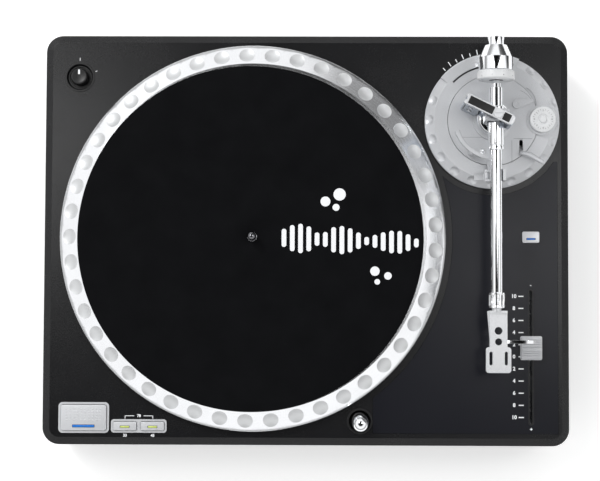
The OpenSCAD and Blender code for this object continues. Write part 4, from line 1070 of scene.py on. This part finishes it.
def pitch_marks():
    """The pitch scale: five ticks each way in steps of two per cent, numbered, with its signs at the ends."""
    z0, z1 = PANEL_TOP - 0.1 * MM, PANEL_TOP + 0.03 * MM
    size, step, z = 4.4 * MM, 10.3 * MM, (z0 + z1) / 2
    low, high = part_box("fader_trim")
    x, middle = centre("fader_trim").x, centre("fader_trim").y + 0.3 * MM
    shape = Shape()
    for k in range(-5, 6):
        y = middle - step * k
        shape.join(bar(x - 10.6 * MM, y, x - 6.2 * MM, y, 0.95 * MM, z0, z1))
        shape.join(letters(str(abs(2 * k)), size, z1 - z0, at(x - 14.4 * MM, y, z), 0.16 * MM))
    for y, text in ((high.y + 3.4 * MM, "-"), (low.y - 3.4 * MM, "+")):
        shape.join(letters(text, size, z1 - z0, at(x, y, z), 0.12 * MM))
    return shape


piece("pitch_marks", pitch_marks(), [INK], body="chassis")

knob, knob_top = centre("fader_knob"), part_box("fader_knob")[1].z
piece("fader_line", prism(rounded_box(16.2 * MM, 0.6 * MM, 0.2 * MM, knob.x, knob.y, 2),
                          edge_rings(knob_top - 2.4 * MM, knob_top - 2.0 * MM)),
      [INK], body="pitch_slider")

ring_scale = [(70 + 3.6 * k, 51.0 if k % 2 else 52.0) for k in range(9)]
piece("ring_marks", ticks(PIVOT, 49.4, ring_scale, 0.3 * MM, RING_TOP - 0.1 * MM, RING_TOP + 0.02 * MM),
      [BLACK_INK_AND_SLOT_SHADE], body="ring_nut")

jacks, jacks_back = centre("audio_jacks"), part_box("audio_jacks")[1].y
for side, colour, title in ((-1, WHITE, "left"), (1, RED, "right")):
    place = at(jacks.x + side * 7 * MM, jacks_back - 9 * MM, jacks.z) @ spun(-QUARTER, "X")
    collar = turned(mm((4.2, 0), (6.4, 0), (6.4, 1.4), (4.2, 1.4)), 0.3 * MM, 48, place, True)
    piece("jack_collar_" + title, collar, [colour], body="chassis")


# ---------------- floor, lights and camera

FLOOR_GLOW = 0.31           # keeps the floor as pale as the studio round it
FLOOR_REACH = 6.0


def floor():
    s = Surface("floor", Emission_Color=(1, 1, 1, 1), Emission_Strength=FLOOR_GLOW)
    s.colour(s.noise(2, 2), shades((0.95, 0.95, 0.95), 0.01))
    s.roughness(s.noise(3, 2), 0.8, 0.9)
    s.bump(s.noise(800, 2), 0.02 * MM)
    mesh = bpy.data.meshes.new("floor")
    corners = [(x * FLOOR_REACH, y * FLOOR_REACH, 0) for x, y in ((-1, -1), (1, -1), (1, 1), (-1, 1))]
    mesh.from_pydata(corners, [], [(0, 1, 2, 3)])
    mesh.materials.append(s.material)
    placed("floor", mesh)


def softbox(name, place, target, w, d, watts):
    light = bpy.data.lights.new(name, "AREA")
    light.shape, light.size, light.size_y, light.energy = "RECTANGLE", w, d, watts
    made = placed(name, light)
    made.location = place
    made.rotation_euler = (Vector(target) - Vector(place)).to_track_quat("-Z", "Y").to_euler()
    made.visible_camera = False


BAND = ((0.0, 0.35), (0.26, 0.40), (0.42, 1.0), (0.80, 1.0), (0.90, 0.10), (0.96, 0.004))   # (height, light)
GAP_TOWARD = radians(42)    # the dark gap's direction, and how close to it the light changes
GAP_EDGE = (0.74, 0.82)
STRENGTH = (1.22, 0.22)     # outside the gap and inside it


def studio():
    """A band of soft light all round, above the horizon, with a dark gap at the back right and a dark top."""
    world = bpy.data.worlds.new("studio")
    world.use_nodes = True
    nodes = Nodes(world.node_tree)
    ground = nodes.tree.nodes["Background"]
    direction = nodes.node("ShaderNodeTexCoord").outputs["Generated"]
    height = nodes.node("ShaderNodeSeparateXYZ", Vector=direction).outputs["Z"]
    nodes.wire(nodes.ramp(height, [(z, (level,) * 3) for z, level in BAND]), ground.inputs["Color"])
    toward = nodes.node("ShaderNodeVectorMath", operation="DOT_PRODUCT", Vector=direction)
    toward.inputs[1].default_value = (cos(GAP_TOWARD), sin(GAP_TOWARD), 0)
    nodes.wire(nodes.spread(toward.outputs["Value"], *GAP_EDGE, *STRENGTH), ground.inputs["Strength"])
    bpy.context.scene.world = world


floor()
studio()
softbox("key", (-1.1, 1.3, 1.7), (0.1, 0.1, 0.1), 0.45, 0.45, 16)
softbox("right_strip", (0.85, 0.25, 1.9), (0.3, 0.05, 0.1), 0.4, 1.3, 4.5)
softbox("left_strip", (-0.85, 0.45, 1.9), (-0.25, 0.1, 0.1), 0.35, 1.1, 4.0)
bpy.context.scene.view_settings.view_transform = "Standard"

camera = bpy.data.cameras.new("camera")
camera.sensor_width, camera.lens = 36.0, 105.0
camera.clip_end = 30
view = placed("camera", camera)
view.location = (0.0115, -0.089, 1.5845)
view.rotation_euler = (radians(3.36), radians(0.624), radians(0.211))
bpy.context.scene.camera = view
